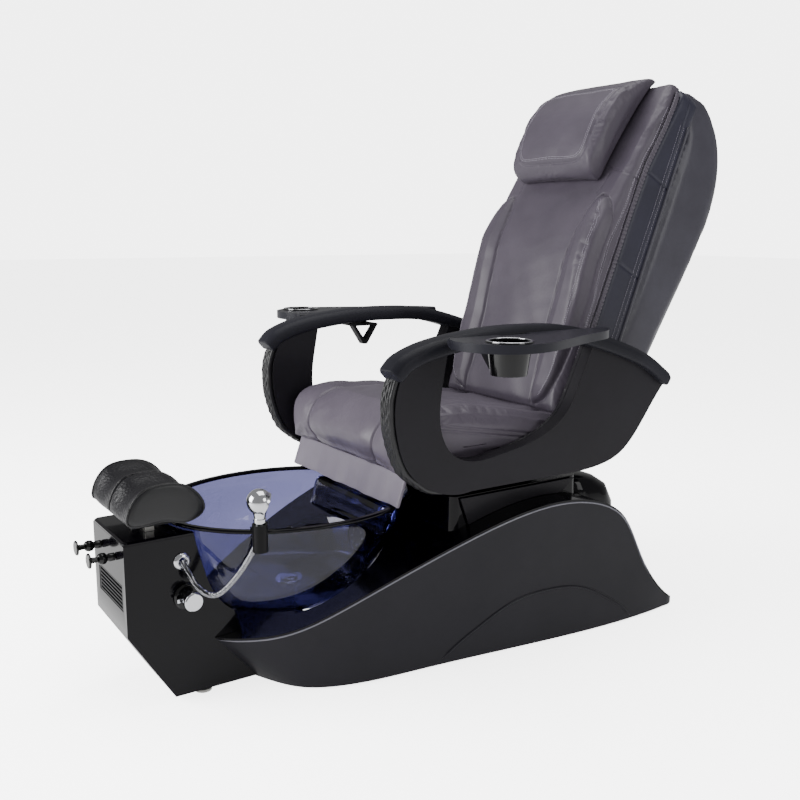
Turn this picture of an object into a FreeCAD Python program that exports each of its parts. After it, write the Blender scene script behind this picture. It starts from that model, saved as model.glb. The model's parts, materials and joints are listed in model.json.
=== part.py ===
import FreeCAD, Part
import math
import os
from types import SimpleNamespace

import Sketcher
from FreeCAD import Placement, Rotation, Vector

# Pedicure spa chair, in millimetres.
# +Z is up, the floor is Z = 0, the plane of symmetry is X = 0 and the sitter faces -Y.
# The sitter's left side is +X. The origin is on the floor under the middle of the chair.

# --------------------------------------------------------------------------------------
# Driving dimensions
# --------------------------------------------------------------------------------------

DRIVING_SIZES = (
    # base
    ("base_rear", 650, "rear edge of the base behind the origin"),
    ("base_length", 1370, "rear edge of the base to the tip of its prow"),
    ("base_width", 704, "widest place of the base"),
    ("base_lift", 6, "underside of the base above the floor"),
    ("hump_height", 382, "crest of the deck under the backrest"),
    ("shell_wall", 8, "wall of the moulded skirt and deck"),
    ("plinth_width", 548, "seat plinth, outside"),
    ("plinth_front", 116, "front wall of the plinth ahead of the origin"),
    ("plinth_rear", 300, "rear wall of the plinth behind the origin"),
    ("plinth_height", 418, "top of the plinth"),
    ("cover_width", 470, "rounded cover on the rear deck"),
    ("cover_length", 224, "rounded cover on the rear deck, front to rear"),
    ("cover_height", 390, "top of the rounded cover"),
    ("rail_gap", 300, "seat rails, centre to centre"),
    ("rail_width", 20, "seat rail across"),
    ("rail_height", 16, "seat rail above the plinth"),
    ("rail_length", 400, "seat rail"),
    ("rod_end_radius", 5, "piston rod of the seat actuator"),
    ("beam", 30, "square tube of the steel base frame"),
    ("beam_wall", 3, "wall of that tube"),
    ("frame_gap", 360, "long beams of the base frame, centre to centre"),
    ("foot_radius", 20, "disc of a levelling foot"),
    # tub
    ("tub_length", 636, "bowl at its rim, front to rear"),
    ("tub_width", 528, "bowl at its rim, side to side"),
    ("tub_centre", 420, "middle of the bowl ahead of the origin"),
    ("tub_top", 400, "upper edge of the bowl wall"),
    ("tub_floor", 178, "underside of the bowl"),
    ("tub_wall", 6, "wall of the acrylic bowl"),
    ("rim_height", 9, "rim bead above the bowl wall"),
    ("rim_reach", 9, "rim bead outside the bowl wall"),
    ("drain_radius", 20, "drain pipe, outside"),
    ("hand_room", 20, "room beside the drain pipe for its coupling"),
    ("jet_radius", 50, "jet housing, outside"),
    ("jet_height", 262, "axis of the jet"),
    ("jet_depth", 72, "jet housing, front to rear"),
    # front column
    ("column_width", 224, "front column"),
    ("column_front", 869, "front face of the column ahead of the origin"),
    ("column_height", 388, "column under its lid"),
    ("column_wall", 6, "wall of the column"),
    ("lid_thickness", 8, "lid of the column"),
    ("hose_ring_height", 332, "centre of the hose ring"),
    ("hose_ring_front", 740, "centre of the hose ring ahead of the origin"),
    ("hose_radius", 6.5, "braided hose, outside"),
    ("valve_height", 249, "axis of the mixing valve"),
    ("valve_front", 732, "axis of the mixing valve ahead of the origin"),
    ("knob_radius", 22, "cap of the mixing valve"),
    ("spindle_radius", 3, "spindle of the mixer knob"),
    ("lever_room", 2, "mixer lever's ring clear of that spindle"),
    ("clamp_height", 350, "axes of the footrest clamp knobs"),
    ("post_gap", 100, "footrest posts, centre to centre"),
    ("post_size", 20, "square footrest post"),
    ("post_front", 792, "footrest posts ahead of the origin"),
    ("pad_bottom", 433, "underside of the foot pads"),
    ("pad_height", 84, "foot pad"),
    ("pad_length", 174, "foot pad, front to rear"),
    ("pad_span", 252, "both foot pads, side to side"),
    # seat
    ("seat_width", 540, "seat cushion"),
    ("seat_top", 635, "crown of the seat cushion"),
    ("seat_bottom", 486, "underside of the seat cushion"),
    ("seat_front", 279, "nose of the cushion ahead of the origin"),
    ("seat_rear", 300, "rear of the cushion behind the origin"),
    ("flap_width", 524, "apron under the nose of the cushion"),
    ("arm_outside", 328, "outer face of an arm panel from the middle"),
    ("arm_cover_depth", 32, "outer shell of an arm panel"),
    ("arm_liner_depth", 12, "inner shell of an arm panel"),
    ("arm_base", 445, "underside of the arm panels"),
    ("arm_crest", 834, "highest place of the arm pads"),
    ("arm_pad_width", 72, "arm pad"),
    ("arm_pad_depth", 38, "arm pad, top to underside"),
    ("tray_top", 820, "upper face of the trays"),
    ("tray_thickness", 20, "tray"),
    ("tray_reach", 545, "outer edge of a tray from the middle"),
    ("cup_centre", 483, "cup holder from the middle"),
    ("cup_front", 124, "cup holder ahead of the origin"),
    ("cup_bore", 88, "inside of the cup holder"),
    ("cup_depth", 52, "cup holder below the tray"),
    ("cup_wall", 3, "wall of the cup holder"),
    # backrest
    ("back_tilt", 22, "backrest from the vertical, degrees"),
    ("pivot_rear", 330, "recline axis behind the origin"),
    ("pivot_height", 560, "recline axis above the floor"),
    ("pin_radius", 8, "recline pin"),
    ("back_height", 960, "backrest along its own length"),
    ("back_width", 490, "front cover of the backrest"),
    ("gusset_width", 472, "side gussets, outside to outside"),
    ("back_shell_width", 420, "rear shell"),
    ("back_shell_depth", 314, "rear shell behind the recline axis"),
    ("back_shell_wall", 14, "padded wall of the rear shell"),
    ("pillow_width", 330, "head pillow"),
    ("bolster_width", 62, "side bolster"),
    ("rod_radius", 6, "guide rod of the massage unit"),
    ("rod_gap", 240, "guide rods, centre to centre"),
    ("roller_radius", 26, "massage roller"),
    # fits
    ("bearing_gap", 0.06, "radial clearance of a turning or sliding round fit"),
    ("slide_gap", 0.5, "clearance of a rail in its runner or a post in its sleeve"),
    ("cover_gap", 1.5, "clearance between a moulded part and what passes through it"),
)

doc = FreeCAD.newDocument("pedicure_spa_chair")
sheet = doc.addObject("Spreadsheet::Sheet", "Sizes")
for row, (alias, number, meaning) in enumerate(DRIVING_SIZES, start=1):
    sheet.set("A%d" % row, meaning)
    sheet.set("B%d" % row, str(number))
    sheet.setAlias("B%d" % row, alias)
doc.recompute()


class Size:
    """A number of the model with the sheet formula that it comes from."""

    def __init__(self, text, number):
        self.text = text
        self.number = number

    def __float__(self):
        return float(self.number)

    def __add__(self, other):
        other = as_size(other)
        return Size("(%s + %s)" % (self.text, other.text), self.number + other.number)

    def __sub__(self, other):
        other = as_size(other)
        return Size("(%s - %s)" % (self.text, other.text), self.number - other.number)

    def __mul__(self, factor):
        return Size("(%s * %s)" % (self.text, factor), self.number * factor)

    def __truediv__(self, divisor):
        return Size("(%s / %s)" % (self.text, divisor), self.number / divisor)

    def __neg__(self):
        return Size("(0 - %s)" % self.text, -self.number)

    def __radd__(self, other):
        return as_size(other) + self

    def __rsub__(self, other):
        return as_size(other) - self


def as_size(number):
    """A plain number becomes a Size, and a Size stays one."""
    if isinstance(number, Size):
        return number
    return Size("%s" % round(number, 6) if number >= 0 else "(0 - %s)" % round(-number, 6), number)


S = SimpleNamespace(**{
    alias: Size("Sizes.%s" % alias, float(sheet.get(alias))) for alias, _, _ in DRIVING_SIZES
})

NODES = {}
X_AXIS, Y_AXIS, Z_AXIS = Vector(1, 0, 0), Vector(0, 1, 0), Vector(0, 0, 1)
ALONG_X = Rotation(Y_AXIS, 90)
ALONG_Y = Rotation(X_AXIS, -90)
UPRIGHT = Rotation()


def node(label, item):
    """Name a finished sub-part: its label is the name of its file."""
    item.Label = label
    NODES[label] = item
    return item


def bind(item, prop, value):
    item.setExpression(prop, as_size(value).text)


def place(item, x, y, z, turn=UPRIGHT):
    """Put an object at a bound position, turned by a fixed rotation."""
    item.Placement = Placement(Vector(float(x), float(y), float(z)), turn)
    for axis, value in zip("xyz", (x, y, z)):
        bind(item, "Placement.Base.%s" % axis, value)
    return item


def box(name, x_range, y_range, z_range):
    """A block between two bound coordinates on each axis."""
    block = doc.addObject("Part::Box", name)
    for prop, (low, high) in zip(("Length", "Width", "Height"), (x_range, y_range, z_range)):
        bind(block, prop, as_size(high) - low)
    return place(block, x_range[0], y_range[0], z_range[0])


def cylinder(name, radius, start, length, turn=UPRIGHT):
    """A round bar that starts at a point and runs along the turned Z axis."""
    bar = doc.addObject("Part::Cylinder", name)
    bind(bar, "Radius", radius)
    bind(bar, "Height", length)
    return place(bar, start[0], start[1], start[2], turn)


def fuse(name, parts):
    joined = doc.addObject("Part::MultiFuse", name)
    joined.Shapes = list(parts)
    return joined


def group(name, parts):
    """Identical or mirrored pieces that share one file as separate solids."""
    together = doc.addObject("Part::Compound", name)
    together.Links = list(parts)
    return together


def cut(name, solid, tool):
    rest = doc.addObject("Part::Cut", name)
    rest.Base = solid
    rest.Tool = tool
    return rest


def formed(label, shape, placement=None):
    """A sub-part whose surface is computed here, because no single feature makes it."""
    item = doc.addObject("Part::Feature", label)
    item.Shape = shape
    if placement is not None:
        item.Placement = placement
    return node(label, item)


# --------------------------------------------------------------------------------------
# Sketches
# --------------------------------------------------------------------------------------

def origin_plane(body, role):
    return [plane for plane in body.Origin.OriginFeatures if plane.Role == role][0]


def sketch_on(body, role, name, lift=0):
    """A sketch on one of the body's own origin planes, lifted along its normal."""
    sketch = body.newObject("Sketcher::SketchObject", name)
    sketch.AttachmentSupport = [(origin_plane(body, role), "")]
    sketch.MapMode = "FlatFace"
    sketch.AttachmentOffset = Placement(Vector(0, 0, float(lift)), Rotation())
    if isinstance(lift, Size):
        bind(sketch, "AttachmentOffset.Base.z", lift)
    return sketch


def draw_polygon(sketch, corners):
    """Closed straight-sided outline. Every corner is bound to its two coordinates."""
    points = [Vector(float(u), float(v), 0) for u, v in corners]
    first = sketch.GeometryCount
    count = len(points)
    for index in range(count):
        sketch.addGeometry(Part.LineSegment(points[index], points[(index + 1) % count]), False)
    for index in range(count):
        following = first + (index + 1) % count
        sketch.addConstraint(Sketcher.Constraint("Coincident", first + index, 2, following, 1))
    for index, corner in enumerate(corners):
        for kind, axis, value in (("DistanceX", -2, corner[0]), ("DistanceY", -1, corner[1])):
            if abs(float(value)) < 1e-9:
                rule = Sketcher.Constraint("PointOnObject", first + index, 1, axis)
                sketch.addConstraint(rule)
                continue
            rule = Sketcher.Constraint(kind, -1, 1, first + index, 1, float(value))
            number = sketch.addConstraint(rule)
            if isinstance(value, Size):
                name = "corner_%s_%d" % (kind[-1].lower(), first + index)
                sketch.renameConstraint(number, name)
                sketch.setExpression("Constraints.%s" % name, value.text)


def draw_circle(sketch, radius, u=0, v=0, name="bore_size"):
    circle = Part.Circle(Vector(float(u), float(v), 0), Z_AXIS, float(radius))
    index = sketch.addGeometry(circle, False)
    number = sketch.addConstraint(Sketcher.Constraint("Radius", index, float(radius)))
    sketch.renameConstraint(number, name)
    sketch.setExpression("Constraints.%s" % name, as_size(radius).text)
    for kind, axis, value in (("DistanceX", -2, u), ("DistanceY", -1, v)):
        if abs(float(value)) < 1e-9:
            sketch.addConstraint(Sketcher.Constraint("PointOnObject", index, 3, axis))
            continue
        number = sketch.addConstraint(Sketcher.Constraint(kind, -1, 1, index, 3, float(value)))
        if isinstance(value, Size):
            tag = "%s_%s" % (name, kind[-1].lower())
            sketch.renameConstraint(number, tag)
            sketch.setExpression("Constraints.%s" % tag, value.text)


def new_body(label):
    return doc.addObject("PartDesign::Body", label)


def pad(body, sketch, length, middle=False):
    raised = body.newObject("PartDesign::Pad", body.Name + "_pad")
    raised.Profile = sketch
    bind(raised, "Length", length)
    if middle:
        raised.Midplane = True
    sketch.Visibility = False
    doc.recompute()
    return raised


def pocket(body, sketch, length, backwards=False):
    """Cut a sketch into the body, and make sure that it removed something."""
    before = body.Shape.Volume
    sunk = body.newObject("PartDesign::Pocket", body.Name + "_pocket")
    sunk.Profile = sketch
    bind(sunk, "Length", length)
    sunk.Reversed = backwards
    doc.recompute()
    if body.Shape.Volume >= before - 1e-6:
        raise RuntimeError("the pocket in %s cuts nothing" % body.Label)
    return sunk


def turned(label, outline, position, turn=UPRIGHT):
    """A piece turned about its own Z axis from (radius, height) corners."""
    body = new_body(label)
    sketch = sketch_on(body, "XZ_Plane", label + "_profile")
    draw_polygon(sketch, outline)
    spin = body.newObject("PartDesign::Revolution", label + "_turned")
    spin.Profile = sketch
    spin.ReferenceAxis = (sketch, ["V_Axis"])
    spin.Angle = 360
    place(body, position[0], position[1], position[2], turn)
    return node(label, body)


def plate(label, outline, thickness, position, role="XY_Plane", turn=UPRIGHT, middle=False):
    """A straight-sided piece of one thickness."""
    body = new_body(label)
    sketch = sketch_on(body, role, label + "_profile")
    draw_polygon(sketch, outline)
    pad(body, sketch, thickness, middle)
    place(body, position[0], position[1], position[2], turn)
    return node(label, body)


# --------------------------------------------------------------------------------------
# Curved outlines and lofts
# --------------------------------------------------------------------------------------

def curve(points):
    """One smooth edge through points."""
    line = Part.BSplineCurve()
    line.interpolate(Points=points)
    return line.toShape()


def loop(points):
    """A smooth closed wire through points."""
    line = Part.BSplineCurve()
    line.interpolate(Points=points, PeriodicFlag=True)
    return Part.Wire([line.toShape()])


def side_prism(edges, x_low, x_high):
    """Solid between two X planes from edges drawn in the X = 0 plane."""
    face = Part.Face(Part.Wire(edges))
    face.translate(Vector(x_low, 0, 0))
    return face.extrude(Vector(x_high - x_low, 0, 0))


def rounded_loop(half_width, front, rear, radius, z):
    """Rounded rectangle in a Z plane, symmetric about X = 0."""
    w, r = half_width, radius
    diagonal = r * (1 - math.sqrt(0.5))
    corners = (
        (w, rear, 1, 1), (-w, rear, -1, 1), (-w, front, -1, -1), (w, front, 1, -1),
    )
    edges = []
    ends = []
    for x, y, sx, sy in corners:
        first = Vector(x, y - sy * r, z)
        second = Vector(x - sx * r, y, z)
        if sx * sy < 0:
            first, second = second, first
        middle = Vector(x - sx * diagonal, y - sy * diagonal, z)
        ends.append((first, middle, second))
    for index, (first, middle, second) in enumerate(ends):
        edges.append(Part.Arc(first, middle, second).toShape())
        edges.append(Part.LineSegment(second, ends[(index + 1) % 4][0]).toShape())
    return Part.Wire(edges)


def ellipse_loop(half_width, half_length, y, z):
    """Ellipse in a Z plane, on the plane of symmetry."""
    if half_length >= half_width:
        shape = Part.Ellipse(Vector(0, y + half_length, z), Vector(half_width, y, z), Vector(0, y, z))
    else:
        shape = Part.Ellipse(Vector(half_width, y, z), Vector(0, y + half_length, z), Vector(0, y, z))
    return Part.Wire([shape.toShape()])


def loft(wires, ruled=False):
    return Part.makeLoft(wires, True, ruled)


def mirrored(shape):
    return shape.mirror(Vector(0, 0, 0), X_AXIS)


# --------------------------------------------------------------------------------------
# Base: skirt, deck, seat plinth
# --------------------------------------------------------------------------------------

# Plan outlines of the base as shares of its length, from the rear edge to the prow, and of
# half its width. The prow flares out above the floor like the bow of a boat.
FLOOR_OUTLINE = ((0.898, 0.17), (0.877, 0.361), (0.839, 0.602), (0.768, 0.744), (0.633, 0.821),
                 (0.331, 0.960), (0.124, 1.0), (0.044, 0.98))
MIDDLE_OUTLINE = ((1.004, 0.142), (0.982, 0.284), (0.931, 0.455), (0.885, 0.594), (0.80, 0.737),
                  (0.660, 0.842), (0.331, 0.955), (0.044, 0.986))
CREST_OUTLINE = ((1.117, 0.17), (1.088, 0.369), (1.015, 0.611), (0.927, 0.761), (0.766, 0.903),
                 (0.584, 0.972), (0.331, 1.0), (0.044, 1.0))
MIDDLE_LEVEL = 150
CREST_LEVEL = 420
REAR_CORNER = 58

# Side view of the deck as shares of the base length and of the hump height: a hollow behind
# the prow, a long rise under the seat, and a steep fall at the rear.
DECK_LINE = ((1.13, 0.458), (1.03, 0.387), (0.956, 0.351), (0.851, 0.432), (0.775, 0.558),
             (0.653, 0.746), (0.512, 0.914), (0.353, 1.0), (0.277, 0.971), (0.181, 0.809),
             (0.134, 0.555), (0.036, 0.105), (-0.004, 0.030), (-0.06, 0.016))
BELOW_FLOOR = 60


def base_wire(outline, z, inset):
    """One level of the base: two smooth flanks, two rear corners, a straight rear edge."""
    rear = float(S.base_rear) - inset
    length = float(S.base_length) - 2 * inset
    half = float(S.base_width) / 2 - inset
    right = [Vector(half * across, rear - length * along, z) for along, across in outline]
    left = [Vector(-p.x, p.y, p.z) for p in right]
    corner = right[-1]
    turn = REAR_CORNER - inset
    end = Vector(corner.x - turn, rear, z)
    middle = Vector(corner.x - turn * 0.24, rear - (rear - corner.y) * 0.30, z)
    mirror_end = Vector(-end.x, end.y, z)
    mirror_middle = Vector(-middle.x, middle.y, z)
    return Part.Wire([
        curve(right),
        Part.Arc(corner, middle, end).toShape(),
        Part.LineSegment(end, mirror_end).toShape(),
        Part.Arc(mirror_end, mirror_middle, left[-1]).toShape(),
        curve(left[::-1]),
        Part.LineSegment(left[0], right[0]).toShape(),
    ])


def base_volume(inset, bottom):
    """The flared body of the base before the deck line cuts it."""
    return loft([
        base_wire(FLOOR_OUTLINE, bottom, inset),
        base_wire(MIDDLE_OUTLINE, MIDDLE_LEVEL, inset),
        base_wire(CREST_OUTLINE, CREST_LEVEL, inset),
    ], ruled=True)


def under_deck(drop):
    """Everything below the deck line lowered by a distance."""
    rear, length = float(S.base_rear), float(S.base_length)
    line = [Vector(0, rear - length * along, float(S.hump_height) * up - drop)
            for along, up in DECK_LINE]
    floor_rear = Vector(0, line[-1].y, -BELOW_FLOOR)
    floor_front = Vector(0, line[0].y, -BELOW_FLOOR)
    edges = [
        curve(line),
        Part.LineSegment(line[-1], floor_rear).toShape(),
        Part.LineSegment(floor_rear, floor_front).toShape(),
        Part.LineSegment(floor_front, line[0]).toShape(),
    ]
    return side_prism(edges, -float(S.base_width), float(S.base_width))


# Levels of the bowl: (share of its depth, half width share, half length share, shift
# of the middle towards the front as a share of the length).
TUB_LEVELS = ((0.0, 0.66, 0.64, 0.010), (0.055, 0.75, 0.715, 0.012), (0.17, 0.825, 0.755, 0.030),
              (0.38, 0.915, 0.80, 0.044), (0.685, 0.965, 0.92, 0.018), (1.0, 1.0, 1.0, 0.0))


def tub_volume(outset):
    """The bowl as one solid, grown or shrunk all round by a distance."""
    depth = float(S.tub_top) - float(S.tub_floor)
    wires = []
    for rise, wide, long, shift in TUB_LEVELS:
        z = float(S.tub_floor) - outset + (depth + outset) * rise
        y = -float(S.tub_centre) - shift * float(S.tub_length)
        wires.append(ellipse_loop(float(S.tub_width) / 2 * wide + outset,
                                  float(S.tub_length) / 2 * long + outset, y, z))
    return loft(wires)


def column_outline(inset):
    """Side view of the front column: upright face, raked foot and raked rear."""
    front = -float(S.column_front) + inset
    top = float(S.column_height) - inset
    return [
        Vector(0, front, top),
        Vector(0, front, 180 + 0.4 * inset),
        Vector(0, -766 + 0.6 * inset, 14 + inset),
        Vector(0, -562 - 1.1 * inset, 14 + inset),
        Vector(0, -685 - 1.1 * inset, top),
    ]


def column_volume(inset):
    corners = column_outline(inset)
    half = float(S.column_width) / 2 - inset
    wire = Part.makePolygon(corners + corners[:1])
    face = Part.Face(wire)
    face.translate(Vector(-half, 0, 0))
    return face.extrude(Vector(2 * half, 0, 0))


tub_hole = tub_volume(float(S.cover_gap))
column_hole = column_volume(-float(S.cover_gap))
wall = float(S.shell_wall)
base_bottom = float(S.base_lift)

skirt = base_volume(0, base_bottom).common(under_deck(wall))
skirt = skirt.cut(base_volume(wall, base_bottom - 1).common(under_deck(wall - 1)))
formed("base_shell", skirt.cut(column_hole))

plinth_half = float(S.plinth_width) / 2
plinth_front = -float(S.plinth_front)
plinth_rear = float(S.plinth_rear)
plinth_top = float(S.plinth_height)
opening = Part.makeBox(
    2 * plinth_half - 60, plinth_rear - plinth_front - 60, plinth_top,
    Vector(30 - plinth_half, plinth_front + 30, 100),
)
jet_front = -float(S.tub_centre) + float(S.tub_length) / 2 - 118
jet_clearance = Part.makeCylinder(float(S.jet_radius) + float(S.cover_gap), 140,
                                  Vector(0, jet_front, float(S.jet_height)), Y_AXIS)
deck_sheet = base_volume(0, base_bottom).common(under_deck(0)).cut(under_deck(wall))
deck_sheet = deck_sheet.cut(column_hole).cut(tub_hole).cut(jet_clearance)
formed("base_deck", deck_sheet.cut(opening))


def plinth_volume(inset, top_inset):
    """Tapered block that carries the seat."""
    low = rounded_loop(plinth_half + 4 - inset, plinth_front - 6 + inset, plinth_rear + 6 - inset,
                       24, 200)
    high = rounded_loop(plinth_half - inset, plinth_front + inset, plinth_rear - inset,
                        24, plinth_top - top_inset)
    return loft([low, high], ruled=True)


plinth = plinth_volume(0, 0).cut(plinth_volume(wall, wall)).cut(under_deck(0))
rim_clearance = ellipse_loop(
    float(S.tub_width) / 2 + float(S.rim_reach) + float(S.cover_gap),
    float(S.tub_length) / 2 + float(S.rim_reach) + float(S.cover_gap),
    -float(S.tub_centre), float(S.tub_top) - 1,
)
rim_hole = Part.Face(rim_clearance).extrude(Vector(0, 0, 60))
formed("seat_plinth", plinth.cut(tub_hole).cut(rim_hole))


def plinth_panel():
    """Three-cornered matte facing on one side of the plinth."""
    corners = [
        Vector(plinth_half + 4.5, plinth_front + 20, plinth_top - 4),
        Vector(plinth_half + 4.5, plinth_front + 62, float(S.hump_height) * 0.80),
        Vector(plinth_half + 4.5, plinth_rear - 55, float(S.hump_height) + 4),
        Vector(plinth_half + 4.5, plinth_rear - 20, plinth_top - 4),
    ]
    face = Part.Face(Part.makePolygon(corners + corners[:1]))
    return face.extrude(Vector(4, 0, 0)).cut(under_deck(-1))


panel = plinth_panel()
formed("plinth_panels", Part.makeCompound([panel, mirrored(panel)]))

# Levels of the rear cover: (drop from its top, inset at the sides, inset at the rear, inset at
# the front, corner radius). It domes over at the top and falls steeply behind.
COVER_LEVELS = ((290, 0, 0, 0, 72), (90, 0, 14, 0, 72), (40, 4, 40, 1, 68), (14, 14, 82, 4, 58),
                (4, 26, 112, 9, 46), (0, 44, 134, 20, 34))


def rear_cover_shape():
    """Rounded cover behind the plinth, with a shallow grip recess across its top."""
    front = plinth_rear + 8
    rear = front + float(S.cover_length)
    top = float(S.cover_height)
    wires = [rounded_loop(float(S.cover_width) / 2 - side, front + ahead, rear - behind, radius,
                          top - drop) for drop, side, behind, ahead, radius in COVER_LEVELS]
    cover = loft(wires, ruled=True).cut(under_deck(0))
    recess = rounded_loop(float(S.cover_width) / 2 - 90, front + 26, front + 62, 17, top - 5)
    return cover.cut(Part.Face(recess).extrude(Vector(0, 0, 10)))


formed("rear_cover", rear_cover_shape())

# --------------------------------------------------------------------------------------
# Steel base frame, seat rails, levelling feet, actuator
# --------------------------------------------------------------------------------------

frame_low = as_size(30)
frame_high = frame_low + S.beam
beam_front = -S.tub_centre - S.drain_radius - S.hand_room - S.beam
post_top = S.plinth_height - S.shell_wall
frame_parts = []
for side, name in ((-1, "right"), (1, "left")):
    inner = S.frame_gap / 2 * side - S.beam / 2
    outer = S.frame_gap / 2 * side + S.beam / 2
    tube = box("long_beam_" + name, (inner, outer), (beam_front, 500), (frame_low, frame_high))
    bore = box("long_bore_" + name, (inner + S.beam_wall, outer - S.beam_wall), (beam_front - 10, 510),
               (frame_low + S.beam_wall, frame_high - S.beam_wall))
    frame_parts.append(cut("long_tube_" + name, tube, bore))
    low = S.rail_gap / 2 * side - S.beam / 2
    high = S.rail_gap / 2 * side + S.beam / 2
    for y, tag in ((-70, "front"), (230, "rear")):
        frame_parts.append(box("upright_%s_%s" % (tag, name), (low, high), (y, y + S.beam),
                               (frame_low, post_top)))
for y, tag in ((beam_front, "front"), (-70, "middle"), (230, "rear"), (470, "tail")):
    frame_parts.append(box("cross_beam_" + tag, (-(S.frame_gap / 2), S.frame_gap / 2),
                           (y, y + S.beam), (frame_low, frame_high)))
frame_parts.append(box("prow_beam", (-S.beam, S.beam), (-566, beam_front + 10), (frame_low, frame_high)))
node("base_frame", fuse("base_frame_steel", frame_parts))

rails = []
for side, name in ((-1, "right"), (1, "left")):
    middle = S.rail_gap / 2 * side
    rails.append(box("rail_" + name, (middle - S.rail_width / 2, middle + S.rail_width / 2),
                     (-(S.plinth_front) + 6, S.rail_length - S.plinth_front + 6),
                     (S.plinth_height, S.plinth_height + S.rail_height)))
node("slide_rails", group("slide_rail_pair", rails))

feet = []
for x, y, stem_top in ((84, -690, 14), (170, -440, 30), (180, 480, 30)):
    for side in (-1, 1):
        tag = "%d_%d" % (abs(y), side + 1)
        disc = cylinder("foot_disc_" + tag, S.foot_radius, (side * x, y, 0), 7)
        stem = cylinder("foot_stem_" + tag, S.foot_radius * 0.4, (side * x, y, 3), stem_top - 3)
        feet.append(fuse("foot_" + tag, [disc, stem]))
node("levelling_feet", group("foot_group", feet))

actuator_height = S.plinth_height + 12
actuator_blank = fuse("actuator_tube_blank", [
    cylinder("actuator_barrel", 10, (0, 40, actuator_height), 210, ALONG_Y),
    box("actuator_foot", (-14, 14), (200, 238), (S.plinth_height, actuator_height)),
])
actuator_bore = cylinder("actuator_bore", S.rod_end_radius + S.bearing_gap, (0, 30, actuator_height),
                         210, ALONG_Y)
node("actuator_tube", cut("actuator_tube_body", actuator_blank, actuator_bore))

# --------------------------------------------------------------------------------------
# Tub, drain, jet
# --------------------------------------------------------------------------------------

tub_wall = float(S.tub_wall)
tub_inner = tub_volume(-tub_wall)
jet_bore = Part.makeCylinder(float(S.jet_radius), 120, Vector(0, jet_front, float(S.jet_height)), Y_AXIS)
drain_y = -float(S.tub_centre)
drain_bore = Part.makeCylinder(float(S.drain_radius), 60, Vector(0, drain_y, float(S.tub_floor) - 20))
rim_slab = tub_volume(0)
tub = rim_slab.cut(tub_inner).cut(jet_bore).cut(drain_bore)
formed("tub", tub)

rim_low, rim_high = float(S.tub_top), float(S.tub_top) + float(S.rim_height)
half_w, half_l, reach = float(S.tub_width) / 2, float(S.tub_length) / 2, float(S.rim_reach)


def rim_loop(grow, z):
    return ellipse_loop(half_w + grow, half_l + grow, -float(S.tub_centre), z)


rim_outside = loft([
    rim_loop(reach - 3, rim_low), rim_loop(reach, rim_low + 3),
    rim_loop(reach, rim_high - 3), rim_loop(reach - 3, rim_high),
], ruled=True)
rim_inside = loft([
    rim_loop(-tub_wall + 0.5, rim_low - 1), rim_loop(-tub_wall - 0.5, rim_low + 4),
    rim_loop(-tub_wall + 2, rim_high + 1),
], ruled=True)
formed("tub_rim", rim_outside.cut(rim_inside))

tub_floor_inside = S.tub_floor + S.tub_wall
turned("drain_flange", [
    (S.drain_radius - 3, -70), (S.drain_radius, -70), (S.drain_radius, -20),
    (S.drain_radius + 10, -20), (S.drain_radius + 10, -S.tub_wall), (S.drain_radius, -S.tub_wall),
    (S.drain_radius, 0), (36, 0), (34, 3), (S.drain_radius - 3, 2),
], (0, -S.tub_centre, tub_floor_inside))

turned("drain_stopper", [
    (0, -40), (4, -40), (4, 1), (22, 4), (23, 7), (16, 9), (0, 9.5),
], (0, -S.tub_centre, tub_floor_inside))

jet_back = S.jet_depth
turned("jet_housing", [
    (S.jet_radius - 6, 0), (S.jet_radius, 0), (S.jet_radius, jet_back), (4 + S.bearing_gap, jet_back),
    (4 + S.bearing_gap, jet_back - 8), (S.jet_radius - 6, jet_back - 8),
], (0, jet_front, S.jet_height), ALONG_Y)

jet_cover = new_body("jet_cover")
cover_sketch = sketch_on(jet_cover, "XY_Plane", "jet_cover_disc")
draw_circle(cover_sketch, S.jet_radius - 6)
pad(jet_cover, cover_sketch, 4)
hole_sketch = sketch_on(jet_cover, "XY_Plane", "jet_cover_hole", 4)
draw_circle(hole_sketch, 3.4, 0, 27, "hole_size")
first_hole = pocket(jet_cover, hole_sketch, 6)
ring_of_holes = jet_cover.newObject("PartDesign::PolarPattern", "jet_cover_ring")
ring_of_holes.Originals = [first_hole]
ring_of_holes.Axis = (cover_sketch, ["N_Axis"])
ring_of_holes.Angle = 360
ring_of_holes.Occurrences = 8
jet_cover.Tip = ring_of_holes
place(jet_cover, 0, jet_front, S.jet_height, ALONG_Y)
node("jet_cover", jet_cover)

IMPELLER_BLADES = 5
impeller = new_body("jet_impeller")
hub_sketch = sketch_on(impeller, "XY_Plane", "impeller_hub")
draw_circle(hub_sketch, 9, 0, 0, "hub_size")
hub = pad(impeller, hub_sketch, 14)
blade_sketch = sketch_on(impeller, "XY_Plane", "impeller_blade")
draw_polygon(blade_sketch, [(-2, 5), (2, 5), (7, 36), (3, 37)])
blade = pad(impeller, blade_sketch, 10)
blade_ring = impeller.newObject("PartDesign::PolarPattern", "impeller_ring")
blade_ring.Originals = [blade]
blade_ring.Axis = (hub_sketch, ["N_Axis"])
blade_ring.Angle = 360
blade_ring.Occurrences = IMPELLER_BLADES
impeller.Tip = blade_ring
doc.recompute()
shaft_sketch = sketch_on(impeller, "XY_Plane", "impeller_shaft")
draw_circle(shaft_sketch, 4, 0, 0, "shaft_size")
pad(impeller, shaft_sketch, 44)
place(impeller, 0, jet_front + 28, S.jet_height, ALONG_Y)
node("jet_impeller", impeller)

# --------------------------------------------------------------------------------------
# Front column with lid, grille, hose ring, valve and footrest
# --------------------------------------------------------------------------------------

column_half = float(S.column_width) / 2
sleeve_size = S.post_size + S.slide_gap * 2
sleeve_out = sleeve_size / 2 + 2
posts_y = -S.post_front

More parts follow.
